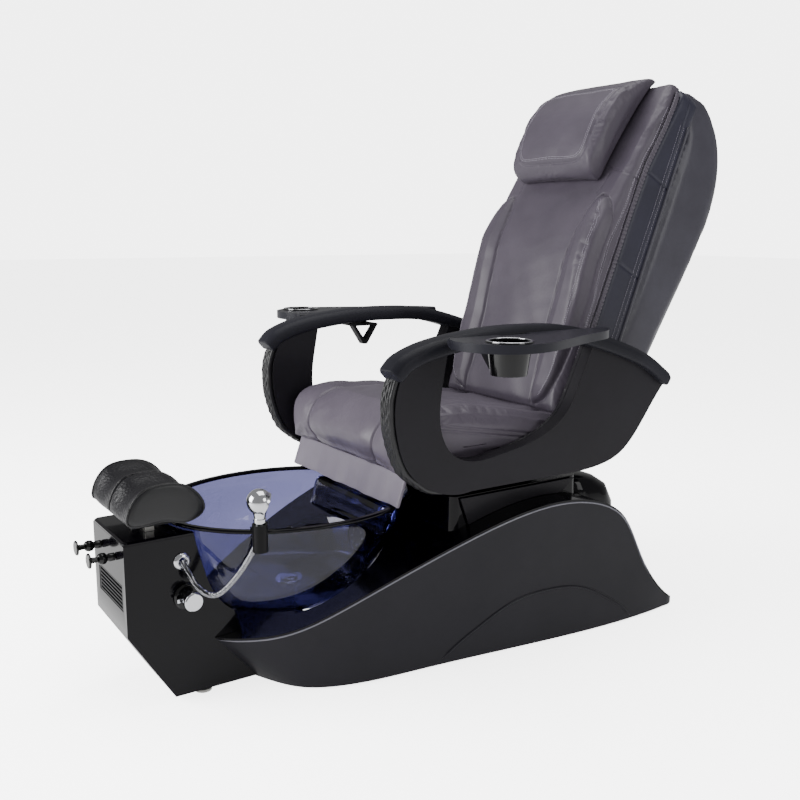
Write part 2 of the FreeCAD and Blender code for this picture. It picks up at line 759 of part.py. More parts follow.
column = column_volume(0).cut(column_volume(float(S.column_wall)))
front_y = -float(S.column_front)
grille_window = Part.makeBox(172, 30, 62, Vector(-80, front_y - 5, 234))
column = column.cut(grille_window)
hose_hole = Part.makeCylinder(14, 40, Vector(column_half - 20, -float(S.hose_ring_front),
                                             float(S.hose_ring_height)), X_AXIS)
valve_hole = Part.makeCylinder(16, 40, Vector(column_half - 20, -float(S.valve_front),
                                              float(S.valve_height)), X_AXIS)
column = column.cut(hose_hole).cut(valve_hole)
for side in (-1, 1):
    post_x = side * float(S.post_gap) / 2
    out = float(sleeve_out)
    top_hole = Part.makeBox(2 * out, 2 * out, 40, Vector(post_x - out, float(posts_y) - out,
                                                         float(S.column_height) - 20))
    knob_hole = Part.makeCylinder(5.5, 40, Vector(post_x, front_y - 10, float(S.clamp_height)), Y_AXIS)
    column = column.cut(top_hole).cut(knob_hole)
formed("column_shell", column.cut(tub_hole))

lid_body = loft([
    rounded_loop(column_half, front_y, -686, 10, float(S.column_height)),
    rounded_loop(column_half, front_y, -686, 10, float(S.column_height) + 4),
    rounded_loop(column_half - 4, front_y + 4, -686, 10,
                 float(S.column_height) + float(S.lid_thickness)),
], ruled=True)
for side in (-1, 1):
    post_x = side * float(S.post_gap) / 2
    out = float(sleeve_out)
    lid_body = lid_body.cut(Part.makeBox(2 * out, 2 * out, 40, Vector(
        post_x - out, float(posts_y) - out, float(S.column_height) - 20)))
formed("column_lid", lid_body.cut(tub_hole))

SLAT_COUNT = 6
grille = new_body("column_grille")
grille_sketch = sketch_on(grille, "XZ_Plane", "grille_panel")
draw_polygon(grille_sketch, [(-80, -30), (92, -30), (92, 32), (-80, 32)])
pad(grille, grille_sketch, 4)
slot_sketch = sketch_on(grille, "XZ_Plane", "grille_slot")
draw_polygon(slot_sketch, [(-72, -25), (84, -25), (84, -20), (-72, -20)])
first_slot = pocket(grille, slot_sketch, 6, backwards=True)
slots = grille.newObject("PartDesign::LinearPattern", "grille_slots")
slots.Originals = [first_slot]
slots.Direction = (slot_sketch, ["V_Axis"])
slots.Length = 45
slots.Occurrences = SLAT_COUNT
grille.Tip = slots
place(grille, 0, -S.column_front + 5, 264)
node("column_grille", grille)

turned("hose_ring", [
    (S.hose_radius + 1.5, -6), (13.5, -6), (13.5, 0), (20, 0), (20, 2), (17, 6), (12, 8),
    (S.hose_radius + 1.5, 5),
], (S.column_width / 2, -S.hose_ring_front, S.hose_ring_height), ALONG_X)

turned("valve_escutcheon", [
    (S.spindle_radius + S.bearing_gap, -20), (15.5, -20), (15.5, 0), (31, 0), (31, 5), (27, 9), (14, 9),
    (14, 16), (S.spindle_radius + S.bearing_gap, 16),
], (S.column_width / 2, -S.valve_front, S.valve_height), ALONG_X)

lever_ring = cylinder("lever_ring", 12, (S.column_width / 2 + 16.4, -S.valve_front, S.valve_height), 7,
                      ALONG_X)
lever_arm = box("lever_arm", (S.column_width / 2 + 17, S.column_width / 2 + 22.5),
                (-S.valve_front - 30, -S.valve_front - 6), (S.valve_height - 4, S.valve_height + 4))
lever_bore = cylinder("lever_bore", S.spindle_radius + S.lever_room,
                      (S.column_width / 2 + 10, -S.valve_front, S.valve_height), 20, ALONG_X)
node("mixer_lever", cut("mixer_lever_bored", fuse("mixer_lever_blank", [lever_ring, lever_arm]),
                        lever_bore))

turned("mixer_knob", [
    (0, -16), (S.spindle_radius, -16), (S.spindle_radius, 26.5), (12, 26.5), (S.knob_radius - 3, 31),
    (S.knob_radius, 33), (S.knob_radius, 45), (S.knob_radius - 3, 48), (0, 49),
], (S.column_width / 2, -S.valve_front, S.valve_height), ALONG_X)

sleeves = []
for side, name in ((-1, "right"), (1, "left")):
    middle = S.post_gap / 2 * side
    sleeve = box("sleeve_" + name, (middle - sleeve_out, middle + sleeve_out),
                 (posts_y - sleeve_out, posts_y + sleeve_out), (200, S.column_height + S.lid_thickness))
    hollow = box("sleeve_bore_" + name, (middle - sleeve_size / 2, middle + sleeve_size / 2),
                 (posts_y - sleeve_size / 2, posts_y + sleeve_size / 2), (190, 420))
    thread = cylinder("sleeve_port_" + name, 5.5, (middle, posts_y - 30, S.clamp_height), 30, ALONG_Y)
    sleeves.append(cut("sleeve_ported_" + name, cut("sleeve_tube_" + name, sleeve, hollow), thread))
node("footrest_sleeves", group("sleeve_pair", sleeves))

posts = []
for side, name in ((-1, "right"), (1, "left")):
    middle = S.post_gap / 2 * side
    posts.append(box("post_" + name, (middle - S.post_size / 2, middle + S.post_size / 2),
                     (posts_y - S.post_size / 2, posts_y + S.post_size / 2), (210, S.pad_bottom - 8)))
node("footrest_posts", group("post_pair", posts))
node("footrest_board", box("footrest_board", (-(S.pad_span / 2) + 10, S.pad_span / 2 - 10),
                           (posts_y - 58, posts_y + 78), (S.pad_bottom - 8, S.pad_bottom)))

# Side view of a foot pad as shares of its length and height, counter-clockwise from the toe.
PAD_OUTLINE = ((0.0, 0.10), (0.07, 0.58), (0.22, 0.90), (0.45, 1.0), (0.72, 0.93), (0.93, 0.60),
               (1.0, 0.18), (0.90, 0.0), (0.5, 0.03), (0.15, 0.0))
# Across one pad: (share of its width, how far its top is dished).
PAD_DISH = ((0.0, 0.0), (0.22, 10.0), (0.5, 20.0), (0.78, 10.0), (1.0, 0.0))


def foot_pad(side):
    """Padded support with a trough for the heel and calf."""
    front = float(posts_y) - 72
    low, height, length = float(S.pad_bottom), float(S.pad_height), float(S.pad_length)
    width = float(S.pad_span) / 2 - 3
    wires = []
    for across, dish in PAD_DISH:
        top = height - dish
        wires.append(loop([Vector(3 + width * across, front + length * u, low + top * v)
                           for u, v in PAD_OUTLINE]))
    below = Part.makeBox(2 * width, 2 * length, 60, Vector(-10, front - 30, low - 60))
    shape = loft(wires).cut(below)
    return shape if side > 0 else mirrored(shape)


formed("footrest_pad_left", foot_pad(1))
formed("footrest_pad_right", foot_pad(-1))

for side, name in ((1, "left"), (-1, "right")):
    turned("clamp_knob_" + name, [
        (0, -60), (15, -60), (17, -58), (17, -55), (7, -52), (6, -40), (11, -36), (13, -30),
        (12, -22), (7, -18), (9, -14), (9, -1.5), (5, -1.5),
        (5, S.column_front - S.post_front - S.post_size / 2 - 0.5),
        (0, S.column_front - S.post_front - S.post_size / 2 - 0.5),
    ], (S.post_gap / 2 * side, -S.column_front, S.clamp_height), ALONG_Y)

# --------------------------------------------------------------------------------------
# Sprayer, its holder and its hose
# --------------------------------------------------------------------------------------

HOLDER = Vector(246, -612, 0)
holder_top = S.tub_top + 32

# The neck stands in the holder and the rose leans over the bowl.
rose_turn = Rotation(Z_AXIS, Vector(0.25, 0.80, -0.40))
head_centre = Vector(HOLDER.x, HOLDER.y, float(holder_top) + 50)


def spray_head():
    """Chrome hand shower: neck, collar and a domed rose with a flat face."""
    bottom = float(holder_top) - 4
    neck = Part.makeCylinder(10.5, 34, Vector(HOLDER.x, HOLDER.y, bottom))
    collar = Part.makeCylinder(14, 7, Vector(HOLDER.x, HOLDER.y, bottom + 9))
    throat = Part.makeCone(12, 17, 24, Vector(HOLDER.x, HOLDER.y, bottom + 16))
    dome = Part.makeSphere(28)
    dome = dome.common(Part.makeCylinder(40, 60, Vector(0, 0, -45)))
    face_ring = Part.makeCylinder(26, 6, Vector(0, 0, 10))
    rose = dome.fuse(face_ring)
    rose.Placement = Placement(head_centre, rose_turn)
    return neck.fuse([collar, throat, rose]).removeSplitter()


formed("sprayer_head", spray_head())

HOSE_ROUTE = (
    Vector(114, -740, 332), Vector(136, -735, 312), Vector(162, -724, 279), Vector(190, -696, 262),
    Vector(212, -662, 300), Vector(232, -632, 352), Vector(243, -616, 394),
    Vector(HOLDER.x, HOLDER.y, 428),
)


def hose_shape(points, radius):
    """Tube of straight runs joined by tangent arcs, each as large as its two runs allow."""
    edges = []
    start = points[0]
    radii = []
    for before, corner, after in zip(points, points[1:], points[2:]):
        run_in, run_out = corner - before, after - corner
        shorter = min(run_in.Length, run_out.Length)
        run_in.normalize()
        run_out.normalize()
        turn = run_in.getAngle(run_out)
        setback = 0.45 * shorter
        bend = setback / math.tan(turn / 2)
        radii.append(bend)
        first = corner - run_in * setback
        last = corner + run_out * setback
        inward = run_out - run_in
        inward.normalize()
        middle = corner + inward * (bend / math.cos(turn / 2) - bend)
        edges.append(Part.LineSegment(start, first).toShape())
        edges.append(Part.Arc(first, middle, last).toShape())
        start = last
    edges.append(Part.LineSegment(start, points[-1]).toShape())
    path = Part.Wire(edges)
    direction = points[1] - points[0]
    section = Part.Wire([Part.Circle(points[0], direction, radius).toShape()])
    tube = path.makePipeShell([section], True, False)
    print("tube of radius %.1f: length %.0f, bend radii %s, volume share %.4f" % (
        radius, path.Length, ", ".join("%.0f" % bend for bend in radii),
        tube.Volume / (math.pi * radius ** 2 * path.Length)))
    return tube


formed("sprayer_hose", hose_shape(HOSE_ROUTE, float(S.hose_radius)))


def holder_shape():
    """Cup clipped over the rim bead, bored for the neck and open where the hose comes in."""
    top = float(holder_top)
    rim_top = float(S.tub_top) + float(S.rim_height)
    cup = Part.makeCylinder(17, 62, Vector(HOLDER.x, HOLDER.y, top - 62))
    clip = Part.makeBox(32, 20, 6, Vector(HOLDER.x - 42, HOLDER.y - 4, rim_top))
    bore = Part.makeCylinder(12, 60, Vector(HOLDER.x, HOLDER.y, top - 30))
    way_in = hose_shape(HOSE_ROUTE, float(S.hose_radius) + float(S.cover_gap))
    return cup.fuse(clip).cut(bore).cut(way_in)


formed("sprayer_holder", holder_shape())

# --------------------------------------------------------------------------------------
# Seat: frame, cushion, apron, arms
# --------------------------------------------------------------------------------------

runner_low = S.plinth_height + S.rail_height - 10
runner_high = S.plinth_height + S.rail_height + 12
seat_parts = []
liner_face = S.arm_outside - S.arm_cover_depth - S.arm_liner_depth
for side, name in ((-1, "right"), (1, "left")):
    middle = S.rail_gap / 2 * side
    runner = box("runner_" + name, (middle - 17, middle + 17), (-60, 230), (runner_low, runner_high))
    slot = box("runner_slot_" + name,
               (middle - S.rail_width / 2 - S.slide_gap, middle + S.rail_width / 2 + S.slide_gap),
               (-70, 240), (runner_low - 5, S.plinth_height + S.rail_height + S.slide_gap))
    seat_parts.append(cut("runner_cut_" + name, runner, slot))
    cheek_low = liner_face * side - 4 * side
    cheek = sorted((cheek_low - 3, cheek_low + 3), key=float)
    seat_parts.append(box("recline_cheek_" + name, cheek, (306, 354), (runner_high - 4,
                                                                      S.pivot_height + 20)))
    seat_parts.append(box("side_channel_" + name, cheek, (-60, 330), (runner_high - 4,
                                                                     S.seat_bottom - 3)))
    pin_start = -(liner_face) + 5 if side < 0 else S.gusset_width / 2 - 50
    seat_parts.append(cylinder("recline_pin_" + name, S.pin_radius,
                               (pin_start, S.pivot_rear, S.pivot_height),
                               liner_face - S.gusset_width / 2 + 45, ALONG_X))
for y, tag in ((-50, "front"), (200, "rear")):
    seat_parts.append(box("seat_cross_" + tag, (-(liner_face), liner_face), (y, y + 26),
                          (runner_high - 4, S.seat_bottom - 6)))
seat_parts.append(box("seat_pan", (-(liner_face) + 20, liner_face - 20), (-200, 290),
                      (S.seat_bottom - 6, S.seat_bottom - 3)))
node("seat_frame", fuse("seat_frame_steel", seat_parts))

node("actuator_rod", fuse("actuator_rod_body", [
    cylinder("actuator_rod_bar", S.rod_end_radius, (0, -46, actuator_height), 200, ALONG_Y),
    box("actuator_rod_end", (-9, 9), (-48, -34), (actuator_height - 6, runner_high - 4)),
]))


def seat_cushion_shape():
    """Cushion with a rolled nose that slopes down to the backrest."""
    front, rear = -float(S.seat_front), float(S.seat_rear)
    top, low = float(S.seat_top), float(S.seat_bottom)
    nose = [
        Vector(0, front + 44, low), Vector(0, front + 16, low + 40), Vector(0, front, low + 82),
        Vector(0, front + 14, low + 122), Vector(0, front + 44, top - 9), Vector(0, front + 100, top),
        Vector(0, front + 200, top - 7), Vector(0, rear - 130, top - 50), Vector(0, rear, top - 70),
    ]
    tail = Vector(0, rear, low)
    edges = [curve(nose), Part.LineSegment(nose[-1], tail).toShape(),
             Part.LineSegment(tail, nose[0]).toShape()]
    half = float(S.seat_width) / 2
    return side_prism(edges, -half, half)


formed("seat_cushion", seat_cushion_shape())

flap_edge = [(-238, 486), (-262, 424), (-255, 420), (-231, 486)]
apron = Part.makePolygon([Vector(0, y, z) for y, z in flap_edge + flap_edge[:1]])
flap_half = float(S.flap_width) / 2
apron_face = Part.Face(apron)
apron_face.translate(Vector(-flap_half, 0, 0))
formed("leg_flap", apron_face.extrude(Vector(2 * flap_half, 0, 0)))

# Side view of an arm. The drop is measured from the crest of the arm pad.
PAD_CREST = ((-338, 80), (-300, 48), (-215, 21), (-72, 3), (60, 0), (190, 8), (321, 41), (473, 96),
             (572, 158))


def pad_line(lower):
    """Crest line of the arm pad moved down by a distance."""
    return [Vector(0, y, float(S.arm_crest) - drop - lower) for y, drop in PAD_CREST]


def arm_pad_shape():
    top = pad_line(0)
    bottom = pad_line(float(S.arm_pad_depth))
    edges = [
        curve(top),
        Part.LineSegment(top[-1], bottom[-1]).toShape(),
        curve(bottom[::-1]),
        Part.LineSegment(bottom[0], top[0]).toShape(),
    ]
    middle = float(S.arm_outside) - 14
    half = float(S.arm_pad_width) / 2
    return side_prism(edges, middle - half, middle + half)


def arm_outline(shift):
    """Outer edge of the arm panel from the front top round the bottom to the rear top."""
    base = float(S.arm_base)
    front = [Vector(0, -313 + shift, 735), Vector(0, -329 + shift, 666), Vector(0, -323 + shift, 598),
             Vector(0, -292 + shift, base + 72), Vector(0, -222 + shift, base + 16),
             Vector(0, -110 + shift, base)]
    rear = [Vector(0, 190, base), Vector(0, 310, base + 4), Vector(0, 400, base + 30),
            Vector(0, 480, base + 108), Vector(0, 566, base + 212)]
    return front, rear


def arm_blank(shift, x_low, x_high):
    """Arm panel without its window, up to the underside of the pad."""
    front, rear = arm_outline(shift)
    roof = Vector(0, rear[-1].y, 900)
    roof_front = Vector(0, front[0].y, 900)
    edges = [curve(front), Part.LineSegment(front[-1], rear[0]).toShape(), curve(rear),
             Part.LineSegment(rear[-1], roof).toShape(),
             Part.LineSegment(roof, roof_front).toShape(),
             Part.LineSegment(roof_front, front[0]).toShape()]
    blank = side_prism(edges, x_low, x_high)
    underside = pad_line(float(S.arm_pad_depth))
    sky = [Vector(0, underside[-1].y, 960), Vector(0, underside[0].y, 960)]
    above = side_prism([curve(underside), Part.LineSegment(underside[-1], sky[0]).toShape(),
                        Part.LineSegment(sky[0], sky[1]).toShape(),
                        Part.LineSegment(sky[1], underside[0]).toShape()], 0, 500)
    return blank.cut(above)


WINDOW = ((-176, 900), (-178, 760), (-193, 660), (-190, 605), (-158, 545), (-105, 520), (-14, 524),
          (113, 552), (205, 612), (243, 684), (283, 770), (300, 900))


def arm_window():
    points = [Vector(0, y, z) for y, z in WINDOW]
    return side_prism([curve(points), Part.LineSegment(points[-1], points[0]).toShape()], 0, 500)


window = arm_window()
outside = float(S.arm_outside)
seam = outside - float(S.arm_cover_depth)
inside = seam - float(S.arm_liner_depth)
TRIM_WIDTH = 12
cover_shape = arm_blank(TRIM_WIDTH, seam, outside).cut(window)
liner_shape = arm_blank(TRIM_WIDTH, inside, seam).cut(window)
trim_blank = arm_blank(0, inside + 2, outside - 2).cut(arm_blank(TRIM_WIDTH, 0, 500))
trim_slice = Part.makeBox(200, 140, 245, Vector(200, -345, 480))
trim_shape = trim_blank.common(trim_slice)
pad_shape = arm_pad_shape()

# Tray: a crescent with a half-round hinge edge beside the arm pad.
hinge_x = outside + 34
hinge_z = S.tray_top - S.tray_thickness / 2
TRAY_FRONT, TRAY_REAR = -195, 282


def tray_shape():
    """Crescent tray with a notch round the hinge lugs and a hole for the cup holder."""
    reach = float(S.tray_reach)
    low, thick = float(S.tray_top) - float(S.tray_thickness), float(S.tray_thickness)
    rim = [Vector(hinge_x, TRAY_FRONT, low), Vector(hinge_x + 70, TRAY_FRONT - 22, low),
           Vector(reach - 24, -172, low), Vector(reach, -100, low), Vector(reach - 20, -10, low),
           Vector(reach - 84, 140, low), Vector(hinge_x + 44, 258, low),
           Vector(hinge_x, TRAY_REAR, low)]
    face = Part.Face(Part.Wire([curve(rim), Part.LineSegment(rim[-1], rim[0]).toShape()]))
    slab = face.extrude(Vector(0, 0, thick))
    roll = Part.makeCylinder(thick / 2, TRAY_REAR - TRAY_FRONT,
                             Vector(hinge_x, TRAY_FRONT, low + thick / 2), Y_AXIS)
    shape = slab.fuse(roll)
    shape = shape.cut(Part.makeBox(32, 92, 60, Vector(hinge_x - 14, -62, low - 20)))
    hole = Part.makeCylinder(float(S.cup_bore) / 2 + float(S.cup_wall), 60,
                             Vector(float(S.cup_centre), -float(S.cup_front), low - 20))
    pin_bore = Part.makeCylinder(3 + float(S.bearing_gap), 120, Vector(hinge_x, -76, low + thick / 2),
                                 Y_AXIS)
    return shape.cut(hole).cut(pin_bore)


def bracket_shape():
    """Steel bracket under the arm pad: a V strut, a carrier plate, two lugs and the hinge pin."""
    under = float(S.arm_crest) - float(S.arm_pad_depth) - 5
    inner = inside + 4
    strut = [Vector(inner, -58, under - 7), Vector(inner, -48, under - 7), Vector(inner, -16, under - 52),
             Vector(inner, 16, under - 7), Vector(inner, 26, under - 7), Vector(inner, -10, under - 62),
             Vector(inner, -22, under - 62)]
    vee = Part.Face(Part.makePolygon(strut + strut[:1])).extrude(Vector(24, 0, 0))
    shelf = Part.makeBox(hinge_x + 6 - inner, 84, 6, Vector(inner, -58, under - 9))
    axis_z = float(hinge_z)
    shape = vee.fuse(shelf)
    for y in (-58, 18):
        stem = Part.makeBox(12, 8, axis_z - under + 9, Vector(hinge_x - 6, y, under - 9))
        ear = Part.makeCylinder(8, 8, Vector(hinge_x, y, axis_z), Y_AXIS)
        shape = shape.fuse([stem, ear])
    pin = Part.makeCylinder(3, 112, Vector(hinge_x, -72, axis_z), Y_AXIS)
    return shape.fuse(pin).removeSplitter()


def cup_shape():
    """Tapered cup with a flat lip on the tray."""
    bore = float(S.cup_bore) / 2
    wall_thickness = float(S.cup_wall)
    top = float(S.tray_top)
    depth = float(S.cup_depth) + float(S.tray_thickness)
    centre = Vector(float(S.cup_centre), -float(S.cup_front), 0)
    outline = [
        Vector(0, 0, top - depth), Vector(bore - 4, 0, top - depth),
        Vector(bore + wall_thickness - 0.1, 0, top - float(S.tray_thickness)),
        Vector(bore + wall_thickness - 0.1, 0, top + 0.1),
        Vector(bore + 9, 0, top + 0.1), Vector(bore + 8, 0, top + 3), Vector(bore, 0, top + 3),
        Vector(bore, 0, top - float(S.tray_thickness)),
        Vector(bore - 4 - wall_thickness, 0, top - depth + wall_thickness),
        Vector(0, 0, top - depth + wall_thickness),
    ]
    face = Part.Face(Part.makePolygon(outline + outline[:1]))
    cup = face.revolve(Vector(0, 0, 0), Z_AXIS, 360)
    cup.translate(centre)
    return cup


for name, change in (("left", lambda shape: shape), ("right", mirrored)):
    formed("arm_cover_" + name, change(cover_shape))
    formed("arm_liner_" + name, change(liner_shape))
    formed("arm_trim_" + name, change(trim_shape))
    formed("arm_pad_" + name, change(pad_shape))
    formed("tray_bracket_" + name, change(bracket_shape()))
    formed("tray_" + name, change(tray_shape()))
    formed("cup_holder_" + name, change(cup_shape()))

# --------------------------------------------------------------------------------------
# Backrest, drawn upright about the recline axis and then tilted
# --------------------------------------------------------------------------------------

back_place = Placement(Vector(0, float(S.pivot_rear), float(S.pivot_height)),
                       Rotation(X_AXIS, -float(S.back_tilt)))
half_back = float(S.back_width) / 2
tall = float(S.back_height)

# Front cushion: (share of the height, front face, rear face), measured from the recline axis.
CUSHION_LEVELS = ((0.012, -96, -56), (0.18, -112, -56), (0.31, -126, -57), (0.46, -141, -57),
                  (0.6, -120, -57), (0.73, -98, -52), (0.89, -60, -26), (0.975, -34, -4))


def back_cushion_shape():
    wires = [rounded_loop(half_back, front, rear, 12, tall * up) for up, front, rear in CUSHION_LEVELS]
    wires.append(rounded_loop(half_back - 22, -20, 2, 9, tall))
    return loft(wires)


def cushion_rear(up):
    """Rear face of the front cushion at a height."""
    below = [level for level in CUSHION_LEVELS if level[0] * tall <= up][-1]
    above = [level for level in CUSHION_LEVELS if level[0] * tall > up][:1]
    if not above:
        return below[2]
    share = (up - below[0] * tall) / (above[0][0] * tall - below[0] * tall)
    return below[2] + (above[0][2] - below[2]) * share


formed("back_cushion", back_cushion_shape(), back_place)


def gusset_shape():
    """Dark side walls between the cushion and the rear shell, joined over the top."""
    half = float(S.gusset_width) / 2
    heights = [20, 200, 430, 560, 700, 830, 925, tall - 12]
    outer = loft([rounded_loop(half - (16 if up > 940 else 0), cushion_rear(up) + 6, 60, 9, up)
                  for up in heights], ruled=True)
    inner = Part.makeBox(2 * half - 64, 260, tall - 50, Vector(32 - half, -130, -10))
    return outer.cut(inner)


formed("back_gusset", gusset_shape(), back_place)

# Rear shell: (height share, half width share, depth share, corner radius).
SHELL_LEVELS = ((0.06, 0.94, 0.72, 40), (0.30, 0.98, 0.84, 55), (0.60, 1.0, 1.0, 70),
                (0.86, 0.98, 0.97, 70), (0.95, 0.95, 0.82, 60), (1.025, 0.88, 0.50, 30))
SHELL_FRONT = 61


def shell_volume(inset, front, low, high):
    depth = float(S.back_shell_depth)
    half = float(S.back_shell_width) / 2
    wires = []
    for up, wide, deep, radius in SHELL_LEVELS:
        height = low + (tall * (up - 0.06) * (high - low)) / (tall * 0.965)
        wires.append(rounded_loop(half * wide - inset, front, depth * deep - inset,
                                  max(radius - inset, 8), height))
    return loft(wires)


shell_low, shell_high = tall * 0.06, tall * 1.025
shell_wall_back = float(S.back_shell_wall)
shell = shell_volume(0, SHELL_FRONT, shell_low, shell_high)
shell = shell.cut(shell_volume(shell_wall_back, SHELL_FRONT - 20, shell_low + 14, shell_high - 16))
formed("back_shell", shell, back_place)


def bolster_pair():
    """Raised side bolsters on the front cushion, from the seat to the pillow."""
    width = float(S.bolster_width)
    inner = half_back - width - 10
    levels = ((0.05, -112, -106), (0.12, -124, -108), (0.31, -148, -121), (0.46, -163, -137),
              (0.56, -150, -124), (0.62, -124, -118))
    wires = []
    for up, front, rear in levels:
        wire = rounded_loop(width / 2, front, rear - 0.5, 2.5, tall * up)
        wire.translate(Vector(inner + width / 2, 0, 0))
        wires.append(wire)
    bolster = loft(wires, ruled=True).cut(back_cushion_shape())
    return Part.makeCompound([bolster, mirrored(bolster)])


formed("back_bolsters", bolster_pair(), back_place)


def pillow_shape():
    """Head pillow that hangs in front of the upper cushion."""
    half = float(S.pillow_width) / 2
    levels = ((0.655, -150, -118, 0.90, 10), (0.70, -186, -108, 0.97, 24), (0.80, -186, -82, 1.0, 30),
              (0.90, -146, -60, 1.0, 26), (0.965, -92, -38, 0.97, 16), (1.0, -52, -22, 0.9, 9))
    wires = [rounded_loop(half * wide, front, rear, radius, tall * up)
             for up, front, rear, wide, radius in levels]
    return loft(wires).cut(back_cushion_shape())


formed("head_pillow", pillow_shape(), back_place)


def back_frame_shape():
    """Welded tube frame with two bored lugs on the recline axis."""
    frame_half = float(S.gusset_width) / 2 - 62
    bore = float(S.pin_radius) + float(S.bearing_gap)
    parts = []
    for side in (-1, 1):
        centre = side * frame_half
        parts.append(Part.makeBox(24, 30, 870, Vector(centre - 12, 6, 26)))
        parts.append(Part.makeCylinder(20, 14, Vector(centre - 7, 0, 0), X_AXIS))
        parts.append(Part.makeBox(14, 26, 50, Vector(centre - 7, -6, 8)))
    for up in (70, 850):
        parts.append(Part.makeBox(2 * frame_half, 22, 26, Vector(-frame_half, 12, up)))
    shape = parts[0].fuse(parts[1:]).removeSplitter()
    return shape.cut(Part.makeCylinder(bore, 600, Vector(-300, 0, 0), X_AXIS))


formed("back_frame", back_frame_shape(), back_place)

rod_x = float(S.rod_gap) / 2
rod_y = 23
rods = [Part.makeCylinder(float(S.rod_radius), 754, Vector(side * rod_x, rod_y, 96))
        for side in (-1, 1)]
formed("massage_rails", Part.makeCompound(rods), back_place)

UNIT_HEIGHT = 330
SHAFT_Y = -16
SHAFT_RADIUS = 5


def massage_carriage_shape():
    """Carriage bored for the guide rods, with a motor box and two shaft lugs."""
    bore = float(S.rod_radius) + float(S.bearing_gap)
    parts = [
        Part.makeBox(2 * rod_x + 28, 24, 60, Vector(-rod_x - 14, 11, UNIT_HEIGHT)),
        Part.makeBox(120, 50, 80, Vector(-60, 35, UNIT_HEIGHT - 10)),
    ]
    for side in (-1, 1):
        parts.append(Part.makeBox(8, 40, 36, Vector(side * 98 - 4, -28, UNIT_HEIGHT + 12)))
    shape = parts[0].fuse(parts[1:]).removeSplitter()
    for side in (-1, 1):
        shape = shape.cut(Part.makeCylinder(bore, 120, Vector(side * rod_x, rod_y, UNIT_HEIGHT - 30)))
    shaft = Part.makeCylinder(SHAFT_RADIUS + float(S.bearing_gap), 300,
                              Vector(-150, SHAFT_Y, UNIT_HEIGHT + 30), X_AXIS)
    return shape.cut(shaft)


def massage_roller_shape():
    """Four kneading rollers on one shaft."""
    radius = float(S.roller_radius)
    shape = Part.makeCylinder(SHAFT_RADIUS, 216, Vector(-108, SHAFT_Y, UNIT_HEIGHT + 30), X_AXIS)
    for x in (-74, -34, 34, 74):
        shape = shape.fuse(Part.makeCylinder(radius, 20, Vector(x - 10, SHAFT_Y, UNIT_HEIGHT + 30),
                                             X_AXIS))
    return shape.removeSplitter()


formed("massage_carriage", massage_carriage_shape(), back_place)
formed("massage_rollers", massage_roller_shape(), back_place)

# --------------------------------------------------------------------------------------
# Check every object and write one file for each sub-part
# --------------------------------------------------------------------------------------

doc.recompute()
for item in doc.Objects:
    if "Invalid" in item.State or "Error" in item.State:
        raise RuntimeError("%s did not compute: %s" % (item.Label, item.State))
os.makedirs("parts", exist_ok=True)
for label, item in NODES.items():
    if item.Shape.isNull() or not item.Shape.isValid():
        raise RuntimeError("%s has no valid shape" % label)
    if not item.Shape.Solids:
        raise RuntimeError("%s holds no solid" % label)
for label, item in NODES.items():
    item.Shape.exportStep("parts/%s.step" % label)
bounds = Part.makeCompound([item.Shape for item in NODES.values()]).BoundBox
print("%d sub-parts, box X %.0f..%.0f Y %.0f..%.0f Z %.0f..%.0f" % (
    len(NODES), bounds.XMin, bounds.XMax, bounds.YMin, bounds.YMax, bounds.ZMin, bounds.ZMax))
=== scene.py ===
"""Looks of the pedicure spa chair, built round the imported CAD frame. Metres, +Z up."""
import json
import logging
import math
from dataclasses import dataclass, field
from enum import Enum

import bmesh
import bpy
import numpy as np
from mathutils import Matrix, Vector
from mathutils.bvhtree import BVHTree


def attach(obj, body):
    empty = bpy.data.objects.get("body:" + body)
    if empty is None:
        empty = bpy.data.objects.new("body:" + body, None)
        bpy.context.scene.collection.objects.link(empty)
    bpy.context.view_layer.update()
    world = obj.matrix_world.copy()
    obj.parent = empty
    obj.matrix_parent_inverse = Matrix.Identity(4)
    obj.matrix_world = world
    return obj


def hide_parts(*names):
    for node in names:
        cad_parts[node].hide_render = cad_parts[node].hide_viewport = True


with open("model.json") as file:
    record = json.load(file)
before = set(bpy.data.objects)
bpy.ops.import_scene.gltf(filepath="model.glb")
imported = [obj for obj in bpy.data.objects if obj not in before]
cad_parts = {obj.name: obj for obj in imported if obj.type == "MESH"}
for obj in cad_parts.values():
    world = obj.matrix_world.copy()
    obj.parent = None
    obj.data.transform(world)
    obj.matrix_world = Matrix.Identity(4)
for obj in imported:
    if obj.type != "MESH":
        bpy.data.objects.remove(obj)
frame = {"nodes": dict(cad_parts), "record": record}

log = logging.getLogger("spa_chair")
MM = 0.001


# ---------------------------------------------------------------------------------------
# Colours and nodes
# ---------------------------------------------------------------------------------------

def linear(code: str, alpha: float = 1.0) -> tuple[float, float, float, float]:
    """Turn an sRGB hex colour into Blender's linear values.

    Args:
        code: six hex digits, such as "8a8088".
        alpha: opacity of the result.

    Returns:
        Red, green, blue and alpha, linear.
    """
    channels = [int(code[i:i + 2], 16) / 255 for i in (0, 2, 4)]
    values = [c / 12.92 if c <= 0.04045 else ((c + 0.055) / 1.055) ** 2.4 for c in channels]
    return values[0], values[1], values[2], alpha


